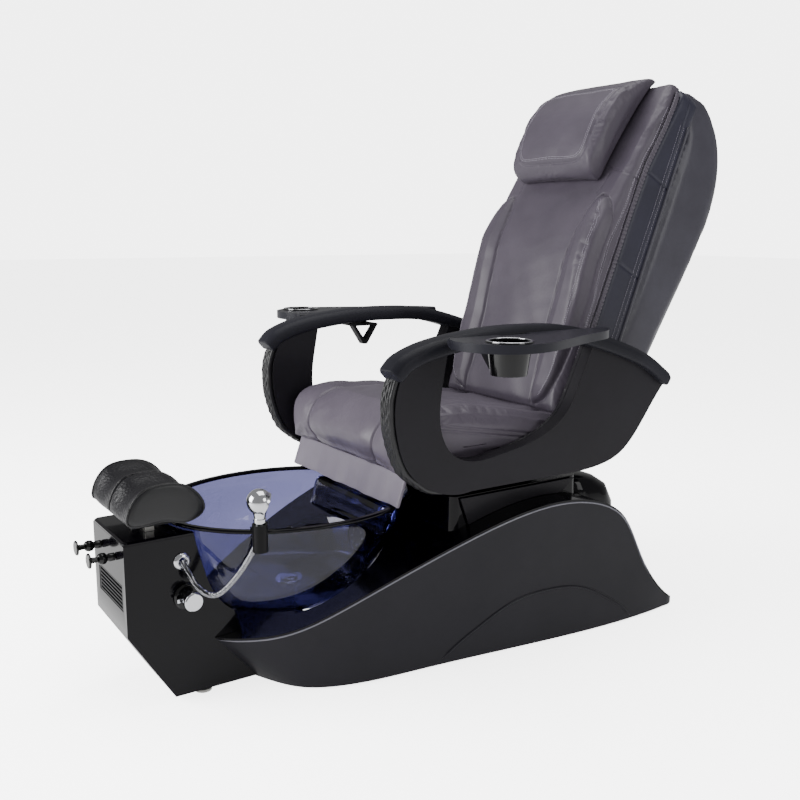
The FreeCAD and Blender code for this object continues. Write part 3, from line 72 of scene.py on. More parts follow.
class Sheet:
    """The node tree of one material, with one way to add a node."""

    def __init__(self, name: str) -> None:
        """Start a material with an empty tree and an output."""
        self.material = bpy.data.materials.new(name)
        self.material.use_nodes = True
        self.tree = self.material.node_tree
        self.tree.nodes.clear()
        self.output = self.add("ShaderNodeOutputMaterial")

    def add(self, kind: str, settings: dict | None = None, **inputs) -> bpy.types.Node:
        """Add a node, set its properties, and set or link its inputs.

        Args:
            kind: Blender's name of the node class.
            settings: properties of the node.
            inputs: socket name with underscores for spaces, to a value or a source socket.

        Returns:
            The new node.
        """
        item = self.tree.nodes.new(kind)
        for key, value in (settings or {}).items():
            setattr(item, key, value)
        for key, value in inputs.items():
            name = key.replace("_", " ")
            socket = item.inputs[int(key[1:])] if key[0] == "i" and key[1:].isdigit() else item.inputs[name]
            if isinstance(value, bpy.types.NodeSocket):
                self.tree.links.new(value, socket)
            else:
                socket.default_value = value
        return item

    def finish(self, shader: bpy.types.Node) -> bpy.types.Material:
        """Link the shader to the output and hand the material over."""
        self.tree.links.new(shader.outputs[0], self.output.inputs["Surface"])
        return self.material

    def ramp(self, source, stops: list[tuple[float, tuple]]) -> bpy.types.NodeSocket:
        """Map a value to colours between (position, colour) stops."""
        node = self.add("ShaderNodeValToRGB", Fac=source)
        band = node.color_ramp
        while len(band.elements) > len(stops):
            band.elements.remove(band.elements[-1])
        while len(band.elements) < len(stops):
            band.elements.new(1.0)
        for element, (position, colour) in zip(band.elements, stops):
            element.position = position
            element.color = colour
        return node.outputs["Color"]

    def span(self, source, low: float, high: float) -> bpy.types.NodeSocket:
        """Map a 0 to 1 value to a range of values."""
        return self.add("ShaderNodeMapRange", Value=source, To_Min=low, To_Max=high).outputs["Result"]


@dataclass(frozen=True)
class CoatedLeather:
    """Polyurethane leathercloth, embossed with a pebble grain and stretched over foam.

    The grain gives a soft broken highlight, and the colour drifts a little where it is pulled.
    """

    name: str
    colour: str
    light: str
    grain_mm: float = 2.2
    depth_mm: float = 0.10
    roughness: float = 0.46
    crease: float = 0.25
    shine: float = 0.5

    def build(self) -> bpy.types.Material:
        """Pebble cells and fine pores as bump, slow noise as colour and roughness drift."""
        s = Sheet(self.name)
        place = s.add("ShaderNodeTexCoord").outputs["Object"]
        drift = s.add("ShaderNodeTexNoise", Vector=place, Scale=7.0, Detail=4.0, Roughness=0.6)
        colour = s.ramp(drift.outputs["Fac"], [(0.30, linear(self.colour)), (0.70, linear(self.light))])
        cells = s.add("ShaderNodeTexVoronoi", {"feature": "SMOOTH_F1"}, Vector=place,
                      Scale=1000.0 / self.grain_mm, Smoothness=0.5)
        pores = s.add("ShaderNodeTexNoise", Vector=place, Scale=1600.0 / self.grain_mm, Detail=2.0)
        grain = s.add("ShaderNodeMath", {"operation": "MULTIPLY_ADD"}, i0=pores.outputs["Fac"], i1=0.35,
                      i2=cells.outputs["Distance"]).outputs[0]
        pull = s.add("ShaderNodeTexNoise", Vector=place, Scale=26.0, Detail=3.0, Roughness=0.55,
                     Distortion=0.9)
        slow = s.add("ShaderNodeBump", Height=pull.outputs["Fac"], Strength=self.crease, Distance=2.0 * MM)
        bump = s.add("ShaderNodeBump", Height=grain, Strength=0.55, Distance=self.depth_mm * MM,
                     Normal=slow.outputs["Normal"])
        gloss = s.span(drift.outputs["Fac"], self.roughness - 0.06, self.roughness + 0.08)
        shader = s.add("ShaderNodeBsdfPrincipled", Base_Color=colour, Roughness=gloss,
                       Normal=bump.outputs["Normal"], IOR=1.5, Specular_IOR_Level=self.shine,
                       Coat_Weight=0.12 * self.shine, Coat_Roughness=0.35)
        return s.finish(shader)


@dataclass(frozen=True)
class MouldedPlastic:
    """Injection or vacuum moulded ABS with a fine spark-eroded grain.

    The grain spreads the highlight without hiding the form.
    """

    name: str
    colour: str
    light: str
    roughness: float = 0.5
    grain_mm: float = 1.2
    depth_mm: float = 0.05
    coat: float = 0.0
    shine: float = 0.20

    def build(self) -> bpy.types.Material:
        """Fine noise bump, with slow drift in colour and roughness."""
        s = Sheet(self.name)
        place = s.add("ShaderNodeTexCoord").outputs["Object"]
        drift = s.add("ShaderNodeTexNoise", Vector=place, Scale=5.0, Detail=3.0)
        colour = s.ramp(drift.outputs["Fac"], [(0.35, linear(self.colour)), (0.65, linear(self.light))])
        grain = s.add("ShaderNodeTexNoise", Vector=place, Scale=1000.0 / self.grain_mm, Detail=3.0)
        bump = s.add("ShaderNodeBump", Height=grain.outputs["Fac"], Strength=0.5,
                     Distance=self.depth_mm * MM)
        gloss = s.span(drift.outputs["Fac"], self.roughness - 0.04, self.roughness + 0.05)
        shader = s.add("ShaderNodeBsdfPrincipled", Base_Color=colour, Roughness=gloss,
                       Normal=bump.outputs["Normal"], IOR=1.49, Specular_IOR_Level=self.shine,
                       Coat_Weight=self.coat, Coat_Roughness=0.08)
        return s.finish(shader)


@dataclass(frozen=True)
class Gelcoat:
    """Sprayed high-gloss gelcoat on glass fibre, near black with a purple depth.

    A clear hard surface with a trace of orange peel.
    """

    name: str
    colour: str
    peel_mm: float = 9.0

    def build(self) -> bpy.types.Material:
        """Smooth base under a full coat, with long shallow waves in the normal."""
        s = Sheet(self.name)
        place = s.add("ShaderNodeTexCoord").outputs["Object"]
        peel = s.add("ShaderNodeTexNoise", Vector=place, Scale=1000.0 / self.peel_mm, Detail=1.0)
        dust = s.add("ShaderNodeTexNoise", Vector=place, Scale=14.0, Detail=6.0)
        bump = s.add("ShaderNodeBump", Height=peel.outputs["Fac"], Strength=0.12, Distance=0.1 * MM)
        gloss = s.span(dust.outputs["Fac"], 0.10, 0.17)
        shader = s.add("ShaderNodeBsdfPrincipled", Base_Color=linear(self.colour), Roughness=gloss,
                       Normal=bump.outputs["Normal"], IOR=1.52, Specular_IOR_Level=0.12,
                       Coat_Weight=0.22, Coat_Roughness=0.04)
        return s.finish(shader)


@dataclass(frozen=True)
class TintedAcrylic:
    """Cast acrylic sheet, vacuum formed, dyed purple blue and clear.

    Light passes through with a colour that deepens at the edges.
    """

    name: str
    colour: str
    deep: str
    roughness: float = 0.03

    def build(self) -> bpy.types.Material:
        """Transmission tinted darker where the wall is seen edge on."""
        s = Sheet(self.name)
        place = s.add("ShaderNodeTexCoord").outputs["Object"]
        wave = s.add("ShaderNodeTexNoise", Vector=place, Scale=9.0, Detail=1.0)
        edge = s.add("ShaderNodeLayerWeight", Blend=0.35)
        tint = s.ramp(edge.outputs["Facing"], [(0.0, linear(self.colour)), (1.0, linear(self.deep))])
        bump = s.add("ShaderNodeBump", Height=wave.outputs["Fac"], Strength=0.1, Distance=1.0 * MM)
        shader = s.add("ShaderNodeBsdfPrincipled", Base_Color=tint, Roughness=self.roughness,
                       Normal=bump.outputs["Normal"], IOR=1.49, Transmission_Weight=1.0)
        return s.finish(shader)


@dataclass(frozen=True)
class PlatedMetal:
    """Chrome-plated brass or bright steel: polished, with faint wipe marks."""

    name: str
    colour: str
    roughness: float = 0.07
    brushed: bool = False

    def build(self) -> bpy.types.Material:
        """Metal whose roughness carries slow smears, or fine lines where it is brushed."""
        s = Sheet(self.name)
        place = s.add("ShaderNodeTexCoord").outputs["Object"]
        stretch = (40.0, 40.0, 900.0) if self.brushed else (30.0, 30.0, 30.0)
        mapped = s.add("ShaderNodeMapping", Vector=place, Scale=stretch).outputs["Vector"]
        smear = s.add("ShaderNodeTexNoise", Vector=mapped, Scale=1.0, Detail=3.0)
        gloss = s.span(smear.outputs["Fac"], self.roughness, self.roughness + 0.08)
        shader = s.add("ShaderNodeBsdfPrincipled", Base_Color=linear(self.colour), Metallic=1.0,
                       Roughness=gloss)
        return s.finish(shader)


@dataclass(frozen=True)
class BraidedSteel:
    """Stainless wire braid over a rubber hose: two crossing sets of bright helical bands.

    The eye sees a fine diamond pattern that sparkles. The bands are drawn 3.6 mm wide, a little
    coarser than real wire, so that they show.
    """

    name: str
    colour: str
    band_mm: float = 3.6

    def build(self) -> bpy.types.Material:
        """Two wave patterns across opposite diagonals of the hose, as bump and as colour: painted shade in
        the gaps and a painted highlight where the bands cross.
        """
        s = Sheet(self.name)
        place = s.add("ShaderNodeTexCoord").outputs["Object"]
        bands = []
        for tilt in (0.9, -0.9):
            turned = s.add("ShaderNodeMapping", Vector=place, Rotation=(tilt, 0.35, tilt * 0.8)).outputs[0]
            bands.append(s.add("ShaderNodeTexWave", {"wave_type": "BANDS", "bands_direction": "X"},
                               Vector=turned, Scale=314.0 / self.band_mm).outputs["Fac"])
        both = s.add("ShaderNodeMath", {"operation": "MULTIPLY"}, i0=bands[0], i1=bands[1]).outputs[0]
        # Dark metal in the gaps is painted shade between the wires; near white where the bands cross is a
        # painted highlight.
        colour = s.ramp(both, [(0.0, linear("3c3d42")), (0.35, linear(self.colour)), (1.0, linear("f0f0f4"))])
        bump = s.add("ShaderNodeBump", Height=both, Strength=0.8, Distance=0.6 * MM)
        shader = s.add("ShaderNodeBsdfPrincipled", Base_Color=colour, Metallic=1.0, Roughness=0.24,
                       Normal=bump.outputs["Normal"])
        return s.finish(shader)


class Finish(Enum):
    """Every finish of the chair."""

    SKIRT = MouldedPlastic("satin_charcoal_abs_skirt", "1d1c22", "222127", 0.40, 1.4, 0.03, 0.06)
    # Skirt edge bead: its pale colour is a painted highlight along the skirt's top edge; its gloss is real.
    LIP = MouldedPlastic("skirt_edge_painted_highlight", "6a6974", "74737e", 0.22, 4.0, 0.01, 0.5, 0.8)
    BRAID = BraidedSteel("stainless_braided_hose", "c9cacf")
    ARM = MouldedPlastic("satin_charcoal_abs_arm", "1c1a1f", "201e24", 0.42, 1.4, 0.03, 0.05)
    PAD = MouldedPlastic("soft_touch_polyurethane", "1d1d24", "24242c", 0.46, 1.6, 0.05)
    BLACK = MouldedPlastic("black_nylon", "0c0c0e", "121215", 0.40, 1.2, 0.05)
    KNOB = MouldedPlastic("polished_black_phenolic", "050506", "08080a", 0.16, 4.0, 0.01, 0.5)
    TRAY = MouldedPlastic("satin_black_abs_tray", "22222a", "28282f", 0.34, 1.4, 0.03, 0.08)
    GELCOAT = Gelcoat("purple_black_gelcoat", "050409")
    ACRYLIC = TintedAcrylic("purple_blue_cast_acrylic", "7c7cab", "343262")
    FROSTED = TintedAcrylic("frosted_purple_acrylic", "b4b4dc", "6d6aa8", 0.35)
    CHROME = PlatedMetal("chrome_plated_brass", "dfe0e4")
    STEEL = PlatedMetal("bright_drawn_steel", "b9b8b4", 0.28, True)
    POWDER = MouldedPlastic("powder_coated_steel", "141416", "1a1a1d", 0.5, 0.8, 0.06)
    LEATHER = CoatedLeather("grey_brown_leathercloth", "4b4550", "544d59")
    # Seat and apron: lighter copies of the back's grey-brown leather, painted light for faces that catch more
    # light.
    SEAT_LEATHER = CoatedLeather("grey_brown_leathercloth_painted_lighter_seat", "5c5561", "67606c")
    APRON_LEATHER = CoatedLeather("grey_brown_leathercloth_painted_lighter_apron", "7a7380", "847d8a")
    DARK_LEATHER = CoatedLeather("blue_black_leathercloth", "1d1c2e", "252438", 2.0, 0.10, 0.44)
    SHELL_LEATHER = CoatedLeather("warm_black_shell_leathercloth", "3b3943", "45434e", 2.4, 0.06, 0.36,
                                  0.08)
    PLEAT_LEATHER = CoatedLeather("black_gathered_leathercloth", "151517", "1b1b1e", 2.0, 0.08, 0.38,
                                  0.1)
    # Thread: the real thread is dark; this light grey is a painted highlight on each stitch.
    THREAD = MouldedPlastic("polyester_thread_painted_highlight", "9b95a2", "aaa4b0", 0.6, 0.4, 0.05)
    FOOT_LEATHER = CoatedLeather("charcoal_grained_leathercloth", "141317", "1b1a1e", 6.0, 1.8, 0.36, 0.25,
                                 0.30)

    def material(self) -> bpy.types.Material:
        """The one material of this finish, built on first use."""
        return bpy.data.materials.get(self.value.name) or self.value.build()


# ---------------------------------------------------------------------------------------
# Meshes
# ---------------------------------------------------------------------------------------

def dress(piece: bpy.types.Object, finish: Finish, body: str,
          nodes: tuple[str, ...] = ()) -> bpy.types.Object:
    """Give a new piece its material and body, and hide the CAD nodes that it stands for.

    Args:
        piece: the finished object.
        finish: its surface.
        body: the CAD body that it rides on.
        nodes: CAD nodes that it replaces.

    Returns:
        The same object.
    """
    if not piece.data.materials:
        piece.data.materials.append(finish.material())
    if nodes:
        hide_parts(*nodes)
    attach(piece, body)
    log.info("%s rides on %s", piece.name, body)
    return piece


def merged_copy(node: str, name: str, angle: float = 32.0, bevel_mm: float = 0.0) -> bpy.types.Object:
    """Copy a CAD node as one welded mesh with smooth curves and sharp edges.

    Args:
        node: name of the CAD node.
        name: name of the new piece.
        angle: edges sharper than this many degrees stay sharp.
        bevel_mm: width of a rounded bevel on those edges, or 0.

    Returns:
        The new object, linked to the scene.
    """
    mesh = frame["nodes"][node].data.copy()
    mesh.materials.clear()
    work = bmesh.new()
    work.from_mesh(mesh)
    bmesh.ops.remove_doubles(work, verts=work.verts, dist=1e-5)
    bmesh.ops.dissolve_limit(work, angle_limit=math.radians(0.5), verts=work.verts, edges=work.edges)
    for edge in work.edges:
        edge.smooth = edge.calc_face_angle(0.0) < math.radians(angle)
    for face in work.faces:
        face.smooth = True
    work.to_mesh(mesh)
    work.free()
    piece = bpy.data.objects.new(name, mesh)
    bpy.context.scene.collection.objects.link(piece)
    if bevel_mm:
        rounding = piece.modifiers.new("rounding", "BEVEL")
        rounding.width = bevel_mm * MM
        rounding.segments = 3
        rounding.limit_method = "ANGLE"
        rounding.angle_limit = math.radians(angle)
        rounding.harden_normals = True
    return piece


def smooth_line(points: list, step: float) -> np.ndarray:
    """Even points on a Catmull-Rom curve through control points.

    Between two controls p1 and p2 the curve is the cubic that leaves p1 with half the vector
    from p0 to p2 and reaches p2 with half the vector from p1 to p3.

    Args:
        points: control points, each of two or three coordinates.
        step: distance between neighbours on the result.

    Returns:
        Points at equal distances along the curve.
    """
    p = np.asarray(points, float)
    p = np.vstack([2 * p[0] - p[1], p, 2 * p[-1] - p[-2]])
    u = np.linspace(0, 1, 24, endpoint=False)[None, :, None]
    p0, p1, p2, p3 = (p[i:len(p) - 3 + i, None, :] for i in range(4))
    dense = 0.5 * (2 * p1 + (p2 - p0) * u + (2 * p0 - 5 * p1 + 4 * p2 - p3) * u ** 2
                   + (3 * p1 - p0 - 3 * p2 + p3) * u ** 3)
    dense = np.vstack([dense.reshape(-1, p.shape[1]), p[-2]])
    along = np.concatenate([[0], np.cumsum(np.linalg.norm(np.diff(dense, axis=0), axis=1))])
    even = np.linspace(0, along[-1], max(int(round(along[-1] / step)), 2) + 1)
    return np.stack([np.interp(even, along, dense[:, k]) for k in range(p.shape[1])], axis=1)


def link_mesh(name: str, points: np.ndarray, faces: list) -> bpy.types.Object:
    """Make a smooth-shaded object from points and faces, with its normals outwards."""
    mesh = bpy.data.meshes.new(name)
    mesh.from_pydata(points.reshape(-1, 3).tolist(), [], faces)
    work = bmesh.new()
    work.from_mesh(mesh)
    bmesh.ops.recalc_face_normals(work, faces=work.faces)
    for face in work.faces:
        face.smooth = True
    work.to_mesh(mesh)
    work.free()
    piece = bpy.data.objects.new(name, mesh)
    bpy.context.scene.collection.objects.link(piece)
    return piece


def ring_loft(name: str, rings: np.ndarray) -> bpy.types.Object:
    """Skin closed rings of equal count and close both ends with one face each.

    Args:
        name: name of the piece.
        rings: array of rings, points in a ring, and coordinates.

    Returns:
        A closed piece.
    """
    count, around = rings.shape[:2]
    ids = np.arange(count * around).reshape(count, around)
    turned = np.roll(ids, -1, axis=1)
    quads = np.stack([ids[:-1], turned[:-1], turned[1:], ids[1:]], axis=-1).reshape(-1, 4).tolist()
    return link_mesh(name, rings, quads + [ids[0][::-1].tolist(), ids[-1].tolist()])


def path_frames(path: np.ndarray, up: tuple) -> tuple[np.ndarray, np.ndarray]:
    """Side and rise directions along a path: side is tangent x up, rise is side x tangent."""
    tangent = np.gradient(path, axis=0)
    tangent /= np.linalg.norm(tangent, axis=1, keepdims=True)
    side = np.cross(tangent, np.asarray(up, float))
    side /= np.linalg.norm(side, axis=1, keepdims=True)
    return side, np.cross(side, tangent)


def sweep(name: str, path: np.ndarray, section: np.ndarray, up: tuple,
          scale: np.ndarray | None = None) -> bpy.types.Object:
    """Carry a closed section along a path.

    Point (i, j) is path i plus side times the section's first number plus rise times its
    second, both times the scale of station i.

    Args:
        name: name of the piece.
        path: stations.
        section: closed section, one point a row.
        up: direction that stays out of the path's tangent.
        scale: size of the section at each station.

    Returns:
        A closed piece.
    """
    side, rise = path_frames(path, up)
    size = np.ones(len(path)) if scale is None else scale
    rings = (path[:, None] + side[:, None] * (section[None, :, :1] * size[:, None, None])
             + rise[:, None] * (section[None, :, 1:] * size[:, None, None]))
    return ring_loft(name, rings)


def circle(radius: float, count: int = 10) -> np.ndarray:
    """Points of a circle: radius times cosine and sine."""
    angle = np.linspace(0, 2 * np.pi, count, endpoint=False)
    return radius * np.stack([np.cos(angle), np.sin(angle)], axis=1)


def rounded_section(half_x: float, low: float, high: float, radius: float,
                    corner: int = 7) -> np.ndarray:
    """Rounded rectangle: each corner is a quarter circle of the radius about its own centre."""
    angle = np.linspace(0, np.pi / 2, corner)
    quarter = radius * np.stack([np.cos(angle), np.sin(angle)], axis=1)
    inner_x, top, bottom = half_x - radius, high - radius, low + radius
    swing = quarter[::-1]
    return np.vstack([
        quarter + (inner_x, top), swing * (-1, 1) + (-inner_x, top),
        -quarter + (-inner_x, bottom), swing * (1, -1) + (inner_x, bottom)])


def coordinates(piece: bpy.types.Object) -> np.ndarray:
    """Vertex positions of a piece as one array."""
    flat = np.empty(len(piece.data.vertices) * 3)
    piece.data.vertices.foreach_get("co", flat)
    return flat.reshape(-1, 3)


def move_to(piece: bpy.types.Object, points: np.ndarray) -> None:
    """Put the vertices of a piece at new positions."""
    piece.data.vertices.foreach_set("co", points.ravel())
    piece.data.update()


def bake(piece: bpy.types.Object) -> None:
    """Replace a piece's mesh with what its modifiers make of it."""
    graph = bpy.context.evaluated_depsgraph_get()
    mesh = bpy.data.meshes.new_from_object(piece.evaluated_get(graph))
    piece.modifiers.clear()
    piece.data = mesh
    mesh.shade_smooth()


def upholster(piece: bpy.types.Object, voxel_mm: float, swell_mm: float,
              pressure: float = 4.0) -> None:
    """Stuff a closed cover: remesh it, blow it up as cloth, and smooth it once.

    Args:
        piece: closed starting form, a little smaller than the cushion.
        voxel_mm: size of the cloth's mesh.
        swell_mm: furthest that any place may move.
        pressure: air pressure of the cloth simulation.
    """
    remesh = piece.modifiers.new("remesh", "REMESH")
    remesh.mode = "VOXEL"
    remesh.voxel_size = voxel_mm * MM
    bake(piece)
    start = coordinates(piece)
    cloth = piece.modifiers.new("cover", "CLOTH")
    cloth.settings.use_pressure = True
    cloth.settings.uniform_pressure_force = pressure
    cloth.settings.effector_weights.gravity = 0.0
    cloth.point_cache.frame_start = 1
    cloth.point_cache.frame_end = 14
    for frame_number in range(1, 15):
        bpy.context.scene.frame_set(frame_number)
    bake(piece)
    moved = coordinates(piece) - start
    reach = np.maximum(np.linalg.norm(moved, axis=1, keepdims=True), 1e-9)
    move_to(piece, start + moved * np.minimum(1.0, swell_mm * MM / reach))
    bpy.context.scene.frame_set(1)
    finer = piece.modifiers.new("finer", "SUBSURF")
    finer.levels = finer.render_levels = 1
    bake(piece)


def distance_to(points: np.ndarray, line: np.ndarray) -> np.ndarray:
    """Distance from each point to a chain of straight runs: the least over the runs."""
    best = np.full(len(points), 1e9)
    for a, b in zip(line[:-1], line[1:]):
        run = b - a
        share = np.clip(((points - a) @ run) / max(float(run @ run), 1e-12), 0, 1)
        best = np.minimum(best, np.linalg.norm(points - a - share[:, None] * run, axis=1))
    return best


def ripple(points: np.ndarray, length_mm: float, seed: int) -> np.ndarray:
    """Soft folds: the mean of six sine waves of about one length in seeded directions."""
    rng = np.random.default_rng(seed)
    turns = rng.normal(size=(6, 3))
    turns /= np.linalg.norm(turns, axis=1, keepdims=True)
    waves = 2 * np.pi / (length_mm * MM * rng.uniform(0.7, 1.4, 6))
    return np.sin(points @ (turns * waves[:, None]).T + rng.uniform(0, 6.28, 6)).mean(axis=1)


def surface_of(piece: bpy.types.Object) -> BVHTree:
    """Search tree of a piece's surface."""
    return BVHTree.FromObject(piece, bpy.context.evaluated_depsgraph_get())


class Stitching:
    """Rows of lockstitch thread laid on covers, one spindle of thread a stitch."""

    def __init__(self, name: str) -> None:
        """Start an empty set of stitches."""
        self.name = name
        self.centres: list = []
        self.along: list = []
        self.away: list = []

    def row(self, tree: BVHTree, path: np.ndarray, pitch_mm: float = 6.0) -> None:
        """Lay one row on the nearest surface under a path.

        Args:
            tree: surface that carries the thread.
            path: points near the surface.
            pitch_mm: stitch length with its gap.
        """
        line = smooth_line(path, pitch_mm * MM)
        hits = [tree.find_nearest(Vector(p)) for p in line]
        spots = np.array([tuple(h[0]) for h in hits])
        normals = np.array([tuple(h[1]) for h in hits])
        self.centres.append(spots + normals * 0.0003)
        self.along.append(np.gradient(spots, axis=0))
        self.away.append(normals)

    def build(self, radius_mm: float = 0.75, length_mm: float = 4.2) -> bpy.types.Object:
        """All stitches as one mesh.

        A stitch is four rings of five points: along its run by the station, and out from its
        middle by the radius of that station, flattened on the cover.
        """
        middle, run, out = (np.vstack(v) for v in (self.centres, self.along, self.away))
        run /= np.maximum(np.linalg.norm(run, axis=1, keepdims=True), 1e-9)
        side = np.cross(run, out)
        side /= np.maximum(np.linalg.norm(side, axis=1, keepdims=True), 1e-9)
        out = np.cross(side, run)
        station = np.array([-0.5, -0.3, 0.3, 0.5]) * length_mm * MM
        girth = np.array([0.35, 1.0, 1.0, 0.35]) * radius_mm * MM
        angle = np.linspace(0, 2 * np.pi, 5, endpoint=False)
        x = np.repeat(station, 5)
        y = np.outer(girth, np.cos(angle)).ravel()
        z = np.outer(girth, np.sin(angle)).ravel() * 0.8
        points = (middle[:, None] + run[:, None] * x[:, None] + side[:, None] * y[:, None]
                  + out[:, None] * z[:, None])
        ids = np.arange(20).reshape(4, 5)
        quads = np.stack([ids[:-1], np.roll(ids, -1, 1)[:-1], np.roll(ids, -1, 1)[1:], ids[1:]],
                         axis=-1).reshape(-1, 4)
        base = (np.arange(len(middle)) * 20)[:, None, None]
        faces = (quads[None] + base).reshape(-1, 4).tolist()
        faces += (ids[0][::-1][None] + base[:, 0]).tolist() + (ids[3][None] + base[:, 0]).tolist()
        return link_mesh(self.name, points, faces)


# ---------------------------------------------------------------------------------------
# Backrest
# ---------------------------------------------------------------------------------------

@dataclass
class Backrest:
    """Upholstered back, drawn upright as across, rearward and up the back, then tilted.

    A place (x, t, s) becomes y = hinge + s sin(tilt) + t cos(tilt) and
    z = hinge + s cos(tilt) - t sin(tilt).
    """

    tilt: float = math.radians(22)
    hinge: tuple[float, float] = (0.33, 0.56)
    half: float = 0.245
    levels: tuple = ((-0.012, -88, -56), (0.012, -97, -56), (0.173, -112, -56), (0.298, -126, -57),
                     (0.442, -141, -57), (0.576, -120, -57), (0.70, -98, -52), (0.854, -60, -26),
                     (0.936, -36, -4), (0.955, -24, 0))
    inner_seam: tuple = ((0.142, 0.004), (0.138, 0.127), (0.138, 0.227), (0.142, 0.344),
                         (0.148, 0.43), (0.156, 0.50), (0.168, 0.572), (0.183, 0.592))
    outer_seam: tuple = ((0.183, 0.592), (0.203, 0.585), (0.222, 0.56), (0.236, 0.52), (0.240, 0.46),
                         (0.239, 0.38), (0.236, 0.30), (0.232, 0.22), (0.226, 0.13), (0.214, 0.06),
                         (0.192, 0.02), (0.160, 0.004))

    def place(self, x: np.ndarray, t: np.ndarray, s: np.ndarray) -> np.ndarray:
        """Tilted places of upright coordinates."""
        c, d = math.cos(self.tilt), math.sin(self.tilt)
        return np.stack(np.broadcast_arrays(x, self.hinge[0] + s * d + t * c,
                                            self.hinge[1] + s * c - t * d), axis=-1)

    def upright(self, points: np.ndarray) -> np.ndarray:
        """Upright coordinates of tilted places."""
        c, d = math.cos(self.tilt), math.sin(self.tilt)
        y, z = points[:, 1] - self.hinge[0], points[:, 2] - self.hinge[1]
        return np.stack([points[:, 0], y * c - z * d, y * d + z * c], axis=1)

    def front(self, s: np.ndarray) -> np.ndarray:
        """Front face of the cover at a height."""
        table = np.array(self.levels)
        return np.interp(s, table[:, 0], table[:, 1] * MM)

    def rear(self, s: np.ndarray) -> np.ndarray:
        """Rear edge of the cover at a height."""
        table = np.array(self.levels)
        return np.interp(s, table[:, 0], table[:, 2] * MM)

    def on_front(self, line: np.ndarray, side: float, lift: float = 0.03) -> np.ndarray:
        """Places just ahead of the front face for a line of (x, s)."""
        return self.place(side * line[:, 0], self.front(line[:, 1]) - lift, line[:, 1])

    def cover(self) -> bpy.types.Object:
        """Front cover with its two raised bolsters and sewn seams."""
        s = smooth_line([(v[0], v[1] * MM, v[2] * MM) for v in self.levels], 0.012)
        crown = np.sqrt(np.clip((s[:, 0] - 0.80) / 0.155, 0, 1))
        half = self.half - 0.004 - 0.03 * crown ** 4
        rings = np.stack([self.place(r[:, 0], r[:, 1], up) for r, up in (
            (rounded_section(h, f + 0.003, b + 0.020, min(0.020, (b - f) * 0.42)), up)
            for h, (up, f, b) in zip(half, s))])
        piece = ring_loft("backrest_cover", rings)
        upholster(piece, 6, 5, 3.0)
        place = self.upright(coordinates(piece))
        x, t, up = np.abs(place[:, 0]), place[:, 1], place[:, 2]
        facing = np.clip((0.5 * (self.front(up) + self.rear(up)) - t) / 0.02, 0, 1)
        flat = np.stack([x, up], axis=1)
        inner, outer = smooth_line(self.inner_seam, 0.01), smooth_line(self.outer_seam, 0.01)
        order = np.argsort(inner[:, 1])
        x_in = np.interp(up, inner[order, 1], inner[order, 0])
        order = np.argsort(outer[:, 1])
        x_out = np.interp(up, outer[order, 1], outer[order, 0])
        share = np.clip((x - x_in) / np.maximum(x_out - x_in, 1e-3), 0, 1)
        inside = (x > x_in) & (x < x_out) & (up > 0.004) & (up < 0.592)
        rise = 0.016 * np.clip((0.592 - up) / 0.05, 0, 1) ** 0.5 * np.clip((up - 0.0) / 0.05, 0, 1) ** 0.5
        edge = np.minimum(distance_to(flat, outer), 0.03)
        shoulder = np.clip(share / 0.35, 0, 1) ** 0.7 * np.clip(edge / 0.010, 0, 1) ** 0.45
        dome = np.where(inside, rise * shoulder, 0)
        seams = 0.0045 * np.exp(-(distance_to(flat, inner) / 0.0030) ** 2)
        seams += 0.0060 * np.exp(-(distance_to(flat, outer) / 0.0034) ** 2)
        stub = smooth_line([(0.166, 0.592), (0.160, 0.60), (0.164, 0.62), (0.168, 0.66)], 0.01)
        seams += 0.0025 * np.exp(-(distance_to(flat, stub) / 0.0028) ** 2)
        wing = np.abs(up - (0.655 + 0.02 * np.clip((0.245 - x) / 0.08, 0, 1)))
        seams += np.where(x > 0.15, 0.0022 * np.exp(-(wing / 0.0028) ** 2), 0)
        slack = ripple(place, 130, 3) * 0.0032 + ripple(place, 60, 4) * 0.0010
        waist = -0.010 * np.exp(-(x / 0.11) ** 2) * np.exp(-((up - 0.25) / 0.22) ** 2)
        hollow = 0.008 * np.exp(-((x - 0.19) / 0.035) ** 2) * np.exp(-((up - 0.70) / 0.09) ** 2)
        place[:, 1] += facing * (seams - dome + slack + waist + hollow)
        lip = np.clip((x - 0.225) / 0.02, 0, 1) * (1 - facing)
        place[:, 0] += np.sign(place[:, 0]) * lip * (ripple(place, 45, 8) * 0.0012
                                                     - 0.0022 * np.exp(-((up - 0.655) / 0.003) ** 2))
        move_to(piece, self.place(place[:, 0], place[:, 1], place[:, 2]))
        return dress(piece, Finish.LEATHER, "backrest",
                     ("back_cushion", "back_bolsters"))

    def fringe(self, side: float) -> None:
        """Gathered binding between the cover and the dark side wall.

        A flat strip whose width breathes along its length, as gathered leather does.
        """
        up = np.arange(-0.008, 0.93, 0.0025)
        gather = 0.0014 * np.sin(up * 2 * np.pi / 0.0105 + 1.4 * np.sin(up * 70))
        t = self.rear(up)
        half = self.half + 0.0015 - 0.03 * np.clip((up - 0.80) / 0.155, 0, 1) ** 2
        path = self.place(side * (half + gather), t - 0.003, up)
        piece = sweep("cover_binding_%s" % ("left" if side > 0 else "right"), path,
                      rounded_section(0.0075, -0.0022, 0.0022, 0.0020, 3), (1.0, 0.0, 0.0))
        dress(piece, Finish.LEATHER, "backrest")

